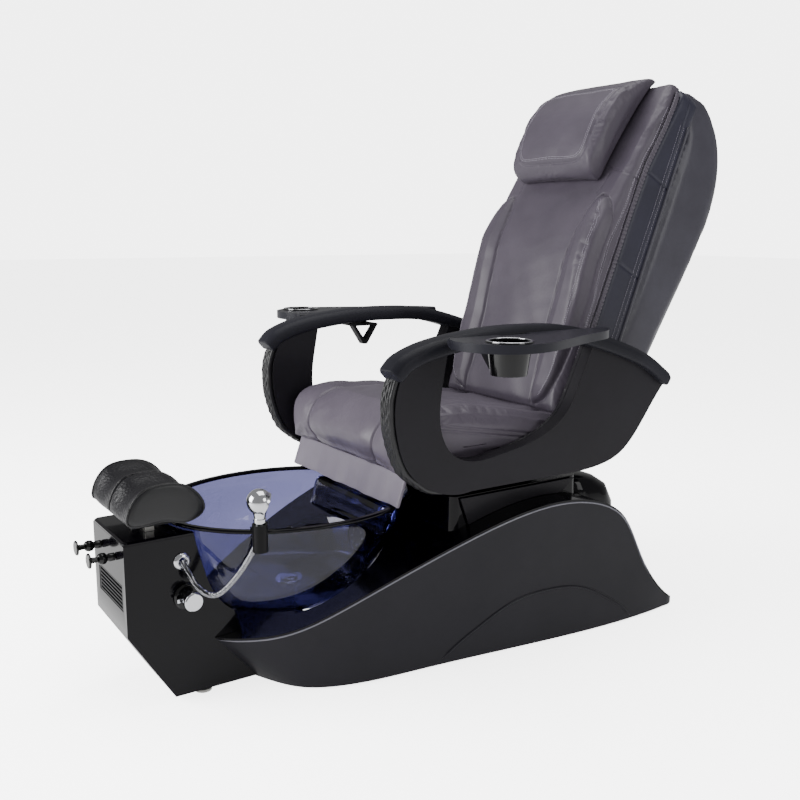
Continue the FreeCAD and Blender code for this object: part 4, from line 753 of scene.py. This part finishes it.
    def gusset(self) -> bpy.types.Object:
        """Dark side walls with their cross seams and the long seam beside the rear shell."""
        piece = merged_copy("back_gusset", "backrest_side_walls")
        upholster(piece, 7, 3, 2.0)
        place = self.upright(coordinates(piece))
        outer = np.abs(place[:, 0]) > 0.215
        place[:, 1] += 0.014 * np.clip((place[:, 1] - 0.045) / 0.010, 0, 1)
        groove = np.zeros(len(place))
        for height in (0.43, 0.69):
            groove += 0.0028 * np.exp(-((place[:, 2] - height + 0.12 * (place[:, 1] + 0.05)) / 0.0032) ** 2)
        groove += 0.0026 * np.exp(-((place[:, 1] - 0.034) / 0.003) ** 2)
        groove -= 0.0012 * ripple(place, 90, 11)
        place[:, 0] -= np.sign(place[:, 0]) * np.where(outer, groove, 0)
        move_to(piece, self.place(place[:, 0], place[:, 1], place[:, 2]))
        return dress(piece, Finish.DARK_LEATHER, "backrest", ("back_gusset",))

    def shell(self) -> bpy.types.Object:
        """Rear shell in dark coated leather over foam."""
        piece = merged_copy("back_shell", "backrest_rear_shell")
        upholster(piece, 9, 4, 2.0)
        return dress(piece, Finish.SHELL_LEATHER, "backrest", ("back_shell",))

    def pillow(self) -> bpy.types.Object:
        """Head pillow: a loose pad whose flap hangs over the top of the cover."""
        levels = smooth_line([(0.630, -126, -112, 0.93), (0.640, -158, -108, 0.965),
                              (0.665, -178, -106, 0.99), (0.72, -184, -98, 1.0), (0.79, -180, -82, 1.0),
                              (0.86, -156, -64, 1.0), (0.905, -118, -50, 1.0), (0.935, -84, -38, 0.99),
                              (0.955, -56, -24, 0.97), (0.962, -42, -18, 0.95)], 6.0)
        rings = np.stack([self.place(r[:, 0], r[:, 1], up) for r, up in (
            (rounded_section(0.163 * w, f * MM, b * MM, min(0.012, (b - f) * MM * 0.42)), up)
            for up, f, b, w in levels)])
        piece = ring_loft("head_pillow_pad", rings)
        upholster(piece, 5, 6, 4.0)
        place = self.upright(coordinates(piece))
        border = smooth_line(self.pillow_border(), 0.006)
        flat = np.stack([np.abs(place[:, 0]), place[:, 2]], axis=1)
        centre = np.interp(place[:, 2], [0.63, 0.79, 0.96], [-0.12, -0.13, -0.03])
        facing = np.clip((centre - place[:, 1]) / 0.012, 0, 1)
        seam = 0.0030 * np.exp(-(distance_to(flat, border) / 0.0032) ** 2)
        swell = 0.007 * np.clip(1 - (place[:, 0] / 0.14) ** 2, 0, 1)
        swell *= np.exp(-((place[:, 2] - 0.76) / 0.09) ** 2)
        place[:, 1] += facing * (seam - swell + 0.0018 * ripple(place, 80, 5))
        move_to(piece, self.place(place[:, 0], place[:, 1], place[:, 2]))
        return dress(piece, Finish.LEATHER, "backrest", ("head_pillow",))

    @staticmethod
    def pillow_border() -> list:
        """Seam round the pillow's front panel as (x, s), right half."""
        return [(0.0, 0.662), (0.09, 0.662), (0.118, 0.670), (0.135, 0.695), (0.140, 0.74), (0.141, 0.80),
                (0.140, 0.86), (0.136, 0.896), (0.10, 0.905), (0.0, 0.907)]

    def threads(self, cover: bpy.types.Object, pillow: bpy.types.Object,
                walls: bpy.types.Object) -> None:
        """Double rows of thread on the bolsters, the cover's edge, the pillow and the walls."""
        thread = Stitching("backrest_stitching")
        tree, pad, wall = surface_of(cover), surface_of(pillow), surface_of(walls)
        outer = smooth_line(self.outer_seam, 0.01)
        centre = np.array([0.19, 0.30])
        for side in (-1.0, 1.0):
            for inset in (0.009, 0.016):
                pull = centre - outer
                pull[:, 1] *= 0.15
                line = outer + pull / np.linalg.norm(pull, axis=1, keepdims=True) * inset
                thread.row(tree, self.on_front(line[2:-2], side))
            for share in (0.42, 0.52, 0.80):
                up = np.arange(0.01, 0.90, 0.03)
                t = self.front(up) * (1 - share) + self.rear(up) * share
                thread.row(tree, self.place(side * 0.27, t, up))
            for inset in (0.006, 0.012):
                line = smooth_line(self.pillow_border(), 0.01)
                away = np.array([0.0, 0.78]) - line
                line = line + away / np.linalg.norm(away, axis=1, keepdims=True) * inset
                top = np.interp(line[:, 1], [0.63, 0.72, 0.79, 0.86, 0.91],
                                [-0.19, -0.20, -0.20, -0.18, -0.14])
                thread.row(pad, self.place(side * line[:, 0], top, line[:, 1]))
            up = np.arange(0.10, 0.86, 0.03)
            for t in (0.026, 0.042):
                thread.row(wall, self.place(side * 0.26, np.full(len(up), t), up))
        dress(thread.build(), Finish.THREAD, "backrest")

    def piping(self) -> None:
        """Thin welt where the side walls meet the rear shell."""
        for side, name in ((1.0, "left"), (-1.0, "right")):
            line = smooth_line([(0.060, 0.10), (0.060, 0.5), (0.060, 0.86)], 0.01)
            path = self.place(side * 0.2350, line[:, 0], line[:, 1])
            piece = sweep("side_welt_" + name, path, circle(0.0060, 12), (1.0, 0.0, 0.0))
            dress(piece, Finish.SHELL_LEATHER, "backrest")

    def build(self) -> set[str]:
        """Every soft part of the back; returns the CAD nodes that it stands for."""
        cover, walls, pillow = self.cover(), self.gusset(), self.pillow()
        self.shell()
        for side in (-1.0, 1.0):
            self.fringe(side)
        self.threads(cover, pillow, walls)
        self.piping()
        return {"back_cushion", "back_bolsters", "back_gusset", "back_shell", "head_pillow"}


# ---------------------------------------------------------------------------------------
# Seat
# ---------------------------------------------------------------------------------------

@dataclass
class Seat:
    """Seat cushion with its rolled nose, and the apron under it."""

    half: float = 0.264
    profile: tuple = ((0.292, 0.492), (0.0, 0.490), (-0.244, 0.490), (-0.268, 0.507), (-0.274, 0.545),
                      (-0.272, 0.583), (-0.255, 0.612), (-0.215, 0.628), (-0.15, 0.631), (-0.06, 0.626),
                      (0.06, 0.608), (0.17, 0.585), (0.24, 0.574), (0.292, 0.572))
    seam: float = 0.160

    def cushion(self) -> bpy.types.Object:
        """Side profile carried across the seat, drawn in a little at both ends, then stuffed."""
        line = smooth_line(list(self.profile) + [self.profile[0]], 0.02)[:-1]
        middle = line.mean(axis=0)
        stations = np.array([-1.0, -0.985, -0.95, -0.6, 0.0, 0.6, 0.95, 0.985, 1.0])
        shrink = np.array([0.93, 0.97, 1.0, 1.0, 1.0, 1.0, 1.0, 0.97, 0.93])
        rings = np.stack([np.column_stack([np.full(len(line), u * self.half),
                                           middle + (line - middle) * k])
                          for u, k in zip(stations, shrink)])
        piece = ring_loft("seat_cushion_pad", rings)
        upholster(piece, 5, 9, 4.0)
        p = coordinates(piece)
        x = np.abs(p[:, 0])
        line_x = self.seam - 0.015 * np.clip((0.54 - p[:, 2]) / 0.05, 0, 1)
        across = np.abs(x - line_x)
        out = np.stack([np.zeros(len(p)), np.minimum(p[:, 1] + 0.10, 0), p[:, 2] - 0.54], axis=1)
        out /= np.maximum(np.linalg.norm(out, axis=1, keepdims=True), 1e-6)
        flank = np.clip((self.half - 0.002 - x) / 0.01, 0, 1)
        groove = 0.0060 * np.exp(-(across / 0.0036) ** 2) + 0.006 * np.exp(-(across / 0.022) ** 2)
        fold = 0.0035 * ripple(p, 120, 21) + 0.0012 * ripple(p, 50, 22)
        p -= out * (groove * flank - fold)[:, None]
        side = x > self.half - 0.012
        level = 0.588 - 0.055 * np.clip((p[:, 1] + 0.15) / 0.30, 0, 1.4)
        for shift in (0.0, 0.012):
            p[:, 0] -= np.sign(p[:, 0]) * np.where(
                side, 0.0035 * np.exp(-((p[:, 2] - level - shift) / 0.0026) ** 2), 0)
        move_to(piece, p)
        # The seat's leather is a lighter copy of the back's: painted light.
        return dress(piece, Finish.SEAT_LEATHER, "seat", ("seat_cushion",))

    def apron(self) -> bpy.types.Object:
        """Stiff leather apron: a thin closed slab that waves a little across its width."""
        u = np.linspace(-1, 1, 90)
        section = rounded_section(0.5, -0.5, 0.5, 0.12, 5)
        drop = section[:, 0] * 0.074
        thick = section[:, 1] * 0.0065
        wave = 0.0022 * np.sin(u * 9.0) + 0.0012 * np.sin(u * 23.0 + 1.0)
        x = np.broadcast_to((u * 0.262)[:, None], (len(u), len(section)))
        fall = np.broadcast_to(0.451 - drop[None, :], x.shape)
        sway = wave[:, None] * (drop[None, :] + 0.037) / 0.074
        hang = -0.2515 - 0.34 * drop[None, :] + thick[None, :] + sway
        piece = ring_loft("leg_apron", np.stack([x, hang, fall], axis=-1))
        # The apron's leather is a lighter copy of the back's: painted light on this front-facing panel.
        return dress(piece, Finish.APRON_LEATHER, "seat", ("leg_flap",))

    def threads(self, apron: bpy.types.Object) -> None:
        """Hem stitches round the apron."""
        thread = Stitching("apron_stitching")
        tree = surface_of(apron)
        x = np.linspace(-0.252, 0.252, 30)
        thread.row(tree, np.column_stack([x, np.full_like(x, -0.29), np.full_like(x, 0.421)]), 5.0)
        z = np.linspace(0.421, 0.478, 6)
        for side in (-1.0, 1.0):
            edge = np.column_stack([np.full_like(z, side * 0.254), np.full_like(z, -0.28), z])
            thread.row(tree, edge, 5.0)
        dress(thread.build(0.55, 3.4), Finish.THREAD, "seat")

    def build(self) -> set[str]:
        """Cushion and apron; returns the CAD nodes that they stand for."""
        self.cushion()
        self.threads(self.apron())
        return {"seat_cushion", "leg_flap"}


# ---------------------------------------------------------------------------------------
# Arms
# ---------------------------------------------------------------------------------------

@dataclass
class Arms:
    """Soft-touch arm pads and the pleated leather that closes the front of each arm."""

    crest: tuple = ((-0.338, 0.754), (-0.300, 0.786), (-0.215, 0.813), (-0.072, 0.831), (0.060, 0.834),
                    (0.190, 0.826), (0.321, 0.793), (0.473, 0.738), (0.572, 0.676))
    middle: float = 0.314
    front: tuple = ((-0.311, 0.742), (-0.325, 0.70), (-0.329, 0.666), (-0.323, 0.598), (-0.292, 0.517),
                    (-0.250, 0.478), (-0.222, 0.461), (-0.185, 0.450))

    def pad(self, side: float, name: str) -> None:
        """Pad section carried along the crest: flat below, faceted and rounded above."""
        line = smooth_line(self.crest, 0.008)
        share = np.linspace(0, 1, len(line))
        ends = np.minimum(share, 1 - share) * len(line)
        size = np.clip((ends + 0.6) / 2.6, 0, 1) ** 0.35 * 0.10 + 0.90
        section = np.array([
            (-0.036, -0.031), (-0.035, -0.035), (-0.031, -0.038), (0.031, -0.038), (0.035, -0.035),
            (0.036, -0.031), (0.036, -0.017), (0.0345, -0.0125), (0.024, -0.002), (0.020, -0.0003),
            (0.0, 0.0), (-0.020, -0.0003), (-0.024, -0.002), (-0.0345, -0.0125), (-0.036, -0.017)])
        section = section + (0, 0.019)
        path = np.column_stack([np.full(len(line), side * self.middle), line])
        sideways, rise = path_frames(path, (0.0, 0.0, 1.0))
        centre = path - rise * 0.019
        rings = (centre[:, None] + sideways[:, None] * (section[None, :, :1] * size[:, None, None])
                 + rise[:, None] * (section[None, :, 1:] * size[:, None, None]))
        piece = ring_loft("arm_pad_%s_moulded" % name, rings)
        rounding = piece.modifiers.new("rounding", "BEVEL")
        rounding.width = 0.004
        rounding.segments = 3
        rounding.limit_method = "ANGLE"
        rounding.angle_limit = math.radians(50)
        rounding.harden_normals = True
        dress(piece, Finish.PAD, "seat", ("arm_pad_" + name,))

    def pleats(self, side: float, name: str) -> None:
        """Gathered strip down the front of an arm.

        Across the strip the height is a row of pleats, the absolute sine of the place, whose
        phase wanders along the strip so that the folds part and join.
        """
        line = smooth_line(self.front, 0.0035)
        path = np.column_stack([np.full(len(line), side * 0.306), line])
        tangent = np.gradient(line, axis=0)
        tangent /= np.linalg.norm(tangent, axis=1, keepdims=True)
        away = np.stack([tangent[:, 1], -tangent[:, 0]], axis=1)
        if away[0, 0] > 0:
            away = -away
        u = np.linspace(-1, 1, 41)
        v = np.arange(len(line)) * 0.0035
        wander = 0.9 * np.sin(v * 42)[:, None] + 0.6 * np.sin(v * 95 + 1.2)[:, None] * u[None]
        height = 0.0042 * np.abs(np.sin(u[None] * 7.2 + wander)) ** 0.7 + 0.0012 * np.sin(
            v * 260 + 2.0)[:, None] * np.cos(u[None] * 9)
        taper = np.clip(np.minimum(v, v[-1] - v) / 0.02, 0.15, 1)[:, None]
        lift = (height * taper) * (1 - u[None] ** 6) - 0.009
        top = path[:, None] + np.stack([
            np.broadcast_to(u[None] * 0.0205, lift.shape),
            away[:, :1] * (lift + 0.009), away[:, 1:] * (lift + 0.009)], axis=-1)
        under = path[:, None] + np.stack([
            np.broadcast_to(u[None] * 0.0205, lift.shape),
            np.broadcast_to(away[:, :1] * -0.009, lift.shape),
            np.broadcast_to(away[:, 1:] * -0.009, lift.shape)], axis=-1)
        rings = np.concatenate([top, under[:, ::-1]], axis=1)
        piece = ring_loft("arm_pleats_" + name, rings)
        dress(piece, Finish.PLEAT_LEATHER, "seat", ("arm_trim_" + name,))

    def build(self) -> set[str]:
        """Both arms; returns the CAD nodes that they stand for."""
        for side, name in ((1.0, "left"), (-1.0, "right")):
            self.pad(side, name)
            self.pleats(side, name)
        return {"arm_pad_left", "arm_pad_right", "arm_trim_left", "arm_trim_right"}


# ---------------------------------------------------------------------------------------
# Footrest
# ---------------------------------------------------------------------------------------

@dataclass
class Footrest:
    """Two moulded foot pads in coarse leather, with smooth end covers and a welt."""

    spokes: int = 64
    welt: float = 2.4 * MM
    dome: tuple = ((0.99, -0.004), (0.985, 0.0015), (0.95, 0.0035), (0.80, 0.0048), (0.4, 0.0055),
                   (0.05, 0.0057))

    def pad(self, name: str) -> None:
        """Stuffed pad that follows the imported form."""
        piece = merged_copy("footrest_pad_" + name, "foot_pad_%s_cover" % name)
        rough = coordinates(piece)
        upholster(piece, 5, 3, 3.0)
        dress(piece, Finish.FOOT_LEATHER, "footrest", ("footrest_pad_" + name,))
        side = 1.0 if name == "left" else -1.0
        self.end_cover(name, rough[rough[:, 0] * side > (rough[:, 0] * side).max() - 0.003], side)

    def end_cover(self, name: str, edge: np.ndarray, side: float) -> None:
        """Smooth sewn-in end of a pad, with a welt round it.

        The outline is the reach of the pad's end in evenly spread directions from its
        middle, smoothed by the mean with its neighbours; the cover shrinks outwards as a dome.
        """
        middle = (edge[:, 1:].min(axis=0) + edge[:, 1:].max(axis=0)) / 2
        away = edge[:, 1:] - middle
        order = np.argsort(np.arctan2(away[:, 1], away[:, 0]))
        turn = np.arctan2(away[:, 1], away[:, 0])[order]
        reach = np.linalg.norm(away, axis=1)[order]
        angle = np.linspace(-np.pi, np.pi, self.spokes, endpoint=False)
        radius = np.interp(angle, turn, reach, period=2 * np.pi)
        radius = (np.roll(radius, 1) + 2 * radius + np.roll(radius, -1)) / 4
        spokes = np.stack([np.cos(angle), np.sin(angle)], axis=1)
        x = edge[:, 0].max() if side > 0 else edge[:, 0].min()
        rings = []
        for share, out in self.dome:
            flat = middle + spokes * (radius * share)[:, None]
            rings.append(np.column_stack([np.full(len(angle), x + side * out), flat]))
        cover = ring_loft("foot_pad_%s_end" % name, np.array(rings))
        dress(cover, Finish.PLEAT_LEATHER, "footrest")
        loop = np.column_stack([np.full(len(angle), x + side * 0.001), middle + spokes * radius[:, None]])
        closed = np.vstack([loop, loop[:1]])
        welt = sweep("foot_pad_%s_welt" % name, closed, circle(self.welt, 8), (1.0, 0.0, 0.0))
        dress(welt, Finish.PLEAT_LEATHER, "footrest")

    def build(self) -> set[str]:
        """Both pads; returns the CAD nodes that they stand for."""
        self.pad("left")
        self.pad("right")
        return {"footrest_pad_left", "footrest_pad_right"}


# ---------------------------------------------------------------------------------------
# Base trim and tub
# ---------------------------------------------------------------------------------------

@dataclass
class BaseTrim:
    """Pale bead along the top of the skirt as a painted highlight line, arched step in its flank, and the
    shelf in the tub.
    """

    lip: tuple = ((0.109, -0.687, 0.141), (0.159, -0.628, 0.133), (0.209, -0.564, 0.146),
                  (0.240, -0.516, 0.165), (0.260, -0.475, 0.180), (0.287, -0.412, 0.213),
                  (0.307, -0.344, 0.243), (0.325, -0.245, 0.285), (0.336, -0.137, 0.321),
                  (0.342, -0.051, 0.349), (0.346, 0.039, 0.368), (0.351, 0.167, 0.382),
                  (0.353, 0.271, 0.371), (0.355, 0.402, 0.309), (0.354, 0.467, 0.212),
                  (0.352, 0.537, 0.111))
    arch: tuple = ((-0.158, 0.020), (-0.083, 0.073), (0.043, 0.135), (0.177, 0.145), (0.285, 0.122),
                   (0.402, 0.053), (0.446, 0.012))
    tub_centre: float = -0.42

    def bead(self, name: str, path: np.ndarray, radius: float, finish: Finish) -> None:
        """Half-sunk round bead that dies away at both ends."""
        share = np.linspace(0, 1, len(path))
        taper = np.clip(np.minimum(share, 1 - share) / 0.03, 0.25, 1)
        piece = sweep(name, path, circle(radius, 8), (1.0, 0.0, 0.0), taper)
        dress(piece, finish, "base")

    def flank(self) -> None:
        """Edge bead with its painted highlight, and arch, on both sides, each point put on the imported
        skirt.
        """
        tree = surface_of(frame["nodes"]["base_shell"])
        for side, name in ((1.0, "left"), (-1.0, "right")):
            line = smooth_line(self.lip, 0.012) * (side, 1, 1)
            snapped = np.array([tuple(tree.find_nearest(Vector(q))[0]) for q in line])
            snapped = smooth_line(snapped[::3], 0.010)
            # Pale bead on the skirt's edge: its colour paints the highlight line along that edge.
            self.bead("skirt_lip_painted_highlight_" + name, snapped + (0, 0, 0.0004), 0.0024, Finish.LIP)
            arch = smooth_line(self.arch, 0.012)
            start = [Vector((side * 0.5, y, z)) for y, z in arch]
            hits = [tree.ray_cast(q, Vector((-side, 0, 0)))[0] for q in start]
            wall = np.array([tuple(h) for h in hits if h is not None])
            self.bead("skirt_arch_" + name, wall - (side * 0.0009, 0, 0), 0.0036, Finish.SKIRT)

    def shelf(self) -> None:
        """Moulded shelf across the rear of the bowl.

        In plan it is the part of the bowl's ellipse behind a front line; the front line moves
        back as the shelf rises, and the plan is a touch smaller than the bowl.
        """
        levels = smooth_line([(0.318, -0.262, 0.225, 0.272), (0.335, -0.252, 0.232, 0.281),
                              (0.365, -0.244, 0.238, 0.290), (0.384, -0.234, 0.243, 0.297),
                              (0.388, -0.222, 0.244, 0.298)], 0.008)
        rings = []
        for z, ahead, wide, long in levels:
            reach = wide * math.sqrt(max(1 - ((ahead - self.tub_centre) / long) ** 2, 0.0)) - 0.002
            x = np.linspace(-reach, reach, 40)
            bow = ahead + 0.010 * (1 - (x / reach) ** 2)
            back = self.tub_centre + long * np.sqrt(np.clip(1 - (x / wide) ** 2, 0, 1))
            back = np.maximum(back, bow + 0.001)
            level = np.full_like(x, z)
            rings.append(np.vstack([np.column_stack([x, bow, level]),
                                    np.column_stack([x, back, level])[::-1]]))
        piece = ring_loft("tub_shelf", np.array(rings))
        dress(piece, Finish.ACRYLIC, "base")

    def build(self) -> set[str]:
        """Trim stands for no CAD node."""
        self.flank()
        self.shelf()
        return set()


@dataclass
class CupTrim:
    """Bright ring round the mouth of each cup holder."""

    place: tuple[float, float, float] = (0.483, -0.124, 0.8232)
    radius: float = 0.0485

    def build(self) -> set[str]:
        """A torus: a small circle carried round a large one."""
        turn = np.linspace(0, 2 * np.pi, 72, endpoint=False)[:, None]
        small = np.linspace(0, 2 * np.pi, 10, endpoint=False)[None]
        reach = self.radius + 0.0020 * np.cos(small)
        for side, name in ((1.0, "left"), (-1.0, "right")):
            x = side * self.place[0] + reach * np.cos(turn)
            y = self.place[1] + reach * np.sin(turn)
            z = self.place[2] + 0.0014 * np.sin(small)
            points = np.stack(np.broadcast_arrays(x, y, z), axis=-1)
            ids = np.arange(720).reshape(72, 10)
            quads = np.stack([ids, np.roll(ids, -1, 1), np.roll(np.roll(ids, -1, 1), -1, 0),
                              np.roll(ids, -1, 0)], axis=-1).reshape(-1, 4).tolist()
            piece = link_mesh("cup_ring_" + name, points, quads)
            dress(piece, Finish.CHROME, "tray_" + name)
        return set()


# ---------------------------------------------------------------------------------------
# Studio
# ---------------------------------------------------------------------------------------

@dataclass
class Studio:
    """Pale floor, soft lights and the camera."""

    camera_place: tuple[float, float, float] = (2.0359, -1.4413, 1.0621)
    azimuth: float = 56.352
    elevation: float = 10.379
    roll: float = 0.239
    lens_mm: float = 42.37
    room: float = 0.30
    backdrop: float = 5.0
    glow: float = 1.6

    def camera(self) -> None:
        """Place the camera: forward from azimuth and elevation, then a small roll."""
        a, e, r = (math.radians(v) for v in (self.azimuth, self.elevation, self.roll))
        forward = Vector((-math.sin(a) * math.cos(e), math.cos(a) * math.cos(e), -math.sin(e)))
        right = Vector((math.cos(a), math.sin(a), 0.0))
        up = right.cross(forward)
        right, up = (right * math.cos(r) + up * math.sin(r), up * math.cos(r) - right * math.sin(r))
        data = bpy.data.cameras.new("camera")
        data.lens = self.lens_mm
        data.sensor_width = 36.0
        data.clip_end = 60.0
        eye = bpy.data.objects.new("camera", data)
        turn = Matrix((right, up, -forward)).transposed()
        eye.matrix_world = Matrix.Translation(Vector(self.camera_place)) @ turn.to_4x4()
        bpy.context.scene.collection.objects.link(eye)
        bpy.context.scene.camera = eye

    def floor(self) -> None:
        """A large pale floor."""
        mesh = bpy.data.meshes.new("floor")
        reach = 30.0
        mesh.from_pydata([(-reach, -reach, 0), (reach, -reach, 0), (reach, reach, 0), (-reach, reach, 0)],
                         [], [(0, 1, 2, 3)])
        s = Sheet("pale_floor")
        dull = s.add("ShaderNodeBsdfPrincipled", Roughness=0.6, Base_Color=linear("f4f4f4"),
                     Emission_Color=linear("ffffff"), Emission_Strength=0.45)
        paper = s.add("ShaderNodeBsdfDiffuse", Color=(2.6, 2.6, 2.6, 1.0))
        lit = s.add("ShaderNodeEmission", Strength=3.6)
        bright = s.add("ShaderNodeAddShader", i0=paper.outputs[0], i1=lit.outputs[0])
        seen = s.add("ShaderNodeLightPath").outputs["Is Camera Ray"]
        mesh.materials.append(s.finish(s.add("ShaderNodeMixShader", i0=seen, i1=dull.outputs[0],
                                             i2=bright.outputs[0])))
        item = bpy.data.objects.new("floor", mesh)
        bpy.context.scene.collection.objects.link(item)

    def light(self, name: str, place: tuple, aim: tuple, size: float, watts: float) -> None:
        """One square soft box that points at a place."""
        data = bpy.data.lights.new(name, "AREA")
        data.shape = "SQUARE"
        data.size = size
        data.energy = watts
        lamp = bpy.data.objects.new(name, data)
        lamp.location = place
        lamp.rotation_mode = "QUATERNION"
        lamp.rotation_quaternion = (Vector(aim) - Vector(place)).to_track_quat("-Z", "Y")
        bpy.context.scene.collection.objects.link(lamp)

    def build(self) -> None:
        """Everything that isn't the chair."""
        self.camera()
        self.floor()
        world = bpy.data.worlds.new("studio")
        world.use_nodes = True
        back = world.node_tree.nodes["Background"]
        back.inputs["Color"].default_value = linear("ffffff")
        path = world.node_tree.nodes.new("ShaderNodeLightPath")
        source = self.room
        for ray, level in (("Is Camera Ray", self.backdrop), ("Is Transmission Ray", self.glow)):
            step = world.node_tree.nodes.new("ShaderNodeMath")
            step.operation = "MULTIPLY_ADD"
            world.node_tree.links.new(path.outputs[ray], step.inputs[0])
            step.inputs[1].default_value = level - self.room
            if isinstance(source, float):
                step.inputs[2].default_value = source
            else:
                world.node_tree.links.new(source, step.inputs[2])
            source = step.outputs[0]
        world.node_tree.links.new(source, back.inputs["Strength"])
        bpy.context.scene.world = world
        self.light("key", (-1.2, -4.0, 1.9), (0.0, 0.0, 0.7), 2.6, 190)
        self.light("side", (4.2, 1.6, 2.4), (0.0, 0.1, 0.7), 2.0, 40)
        self.light("top", (0.0, 0.4, 4.2), (0.0, 0.0, 0.5), 3.0, 80)


# ---------------------------------------------------------------------------------------
# Rigid pieces that keep their CAD form
# ---------------------------------------------------------------------------------------

@dataclass
class RigidPieces:
    """CAD nodes whose form is right: welded, rounded and given their finish."""

    bodies: dict[str, str] = field(default_factory=lambda: {
        node: body for body, nodes in frame["record"]["behaviour"]["bodies"].items() for node in nodes})
    slots: dict[str, str] = field(default_factory=lambda: {
        part["node"]: part["material_slot"] for part in frame["record"]["subparts"]})

    def keep(self, node: str, finish: Finish, bevel_mm: float = 0.8, angle: float = 32.0) -> None:
        """Dress one node as a welded copy of itself."""
        piece = merged_copy(node, node + "_finished", angle, bevel_mm)
        dress(piece, finish, self.bodies[node], (node,))

    def build(self, done: set[str]) -> None:
        """Dress every node that no other class has replaced."""
        table = {
            "skirt_matte": Finish.SKIRT, "deck_gloss": Finish.GELCOAT, "tub_acrylic": Finish.ACRYLIC,
            "rim_gloss": Finish.GELCOAT, "satin_panel": Finish.ARM, "soft_black": Finish.PAD,
            "hard_black": Finish.BLACK, "knob_black": Finish.KNOB, "frame_steel": Finish.POWDER,
            "bright_steel": Finish.STEEL, "chrome": Finish.CHROME, "leather_grey": Finish.LEATHER,
            "leather_dark": Finish.DARK_LEATHER, "pad_charcoal": Finish.FOOT_LEATHER,
        }
        special = {
            "arm_cover_left": (Finish.ARM, 5.0, 40.0), "arm_cover_right": (Finish.ARM, 5.0, 40.0),
            "arm_liner_left": (Finish.ARM, 3.0, 40.0), "arm_liner_right": (Finish.ARM, 3.0, 40.0),
            "tray_left": (Finish.TRAY, 4.0, 40.0), "tray_right": (Finish.TRAY, 4.0, 40.0),
            "cup_holder_left": (Finish.KNOB, 0.8, 30.0), "cup_holder_right": (Finish.KNOB, 0.8, 30.0),
            "base_shell": (Finish.SKIRT, 1.5, 35.0), "base_deck": (Finish.GELCOAT, 1.0, 35.0),
            "jet_cover": (Finish.FROSTED, 0.6, 30.0), "rear_cover": (Finish.GELCOAT, 2.0, 50.0),
        }
        for node, slot in self.slots.items():
            if node in done:
                continue
            finish, bevel, angle = special.get(node, (table[slot], 0.8, 32.0))
            self.keep(node, finish, bevel, angle)


@dataclass
class SprayHose:
    """Braided shower hose from the column's ring to the hand shower."""

    route: tuple = ((0.114, -0.740, 0.332), (0.136, -0.735, 0.312), (0.162, -0.724, 0.279),
                    (0.190, -0.696, 0.262), (0.212, -0.662, 0.300), (0.232, -0.632, 0.352),
                    (0.243, -0.616, 0.394), (0.246, -0.612, 0.428))
    diameter: float = 13 * MM
    length: float = 0.31

    def build(self) -> None:
        """One smooth spline through the hose's route."""
        data = bpy.data.curves.new("spray_hose", "CURVE")
        data.dimensions = "3D"
        line = data.splines.new("NURBS")
        line.points.add(len(self.route) - 1)
        for point, place in zip(line.points, self.route):
            point.co = (*place, 1.0)
        line.order_u = 3
        line.use_endpoint_u = True
        data.bevel_depth = self.diameter / 2
        data.use_fill_caps = True
        piece = bpy.data.objects.new("spray_hose", data)
        bpy.context.scene.collection.objects.link(piece)
        dress(piece, Finish.BRAID, "base", ("sprayer_hose",))


def main() -> None:
    logging.basicConfig(level=logging.INFO)
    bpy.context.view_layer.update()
    Studio().build()
    SprayHose().build()
    done = {"sprayer_hose"}
    for part in (Backrest(), Seat(), Arms(), Footrest(), BaseTrim(), CupTrim()):
        done |= part.build()
    RigidPieces().build(done)


if __name__ == "__main__":
    main()
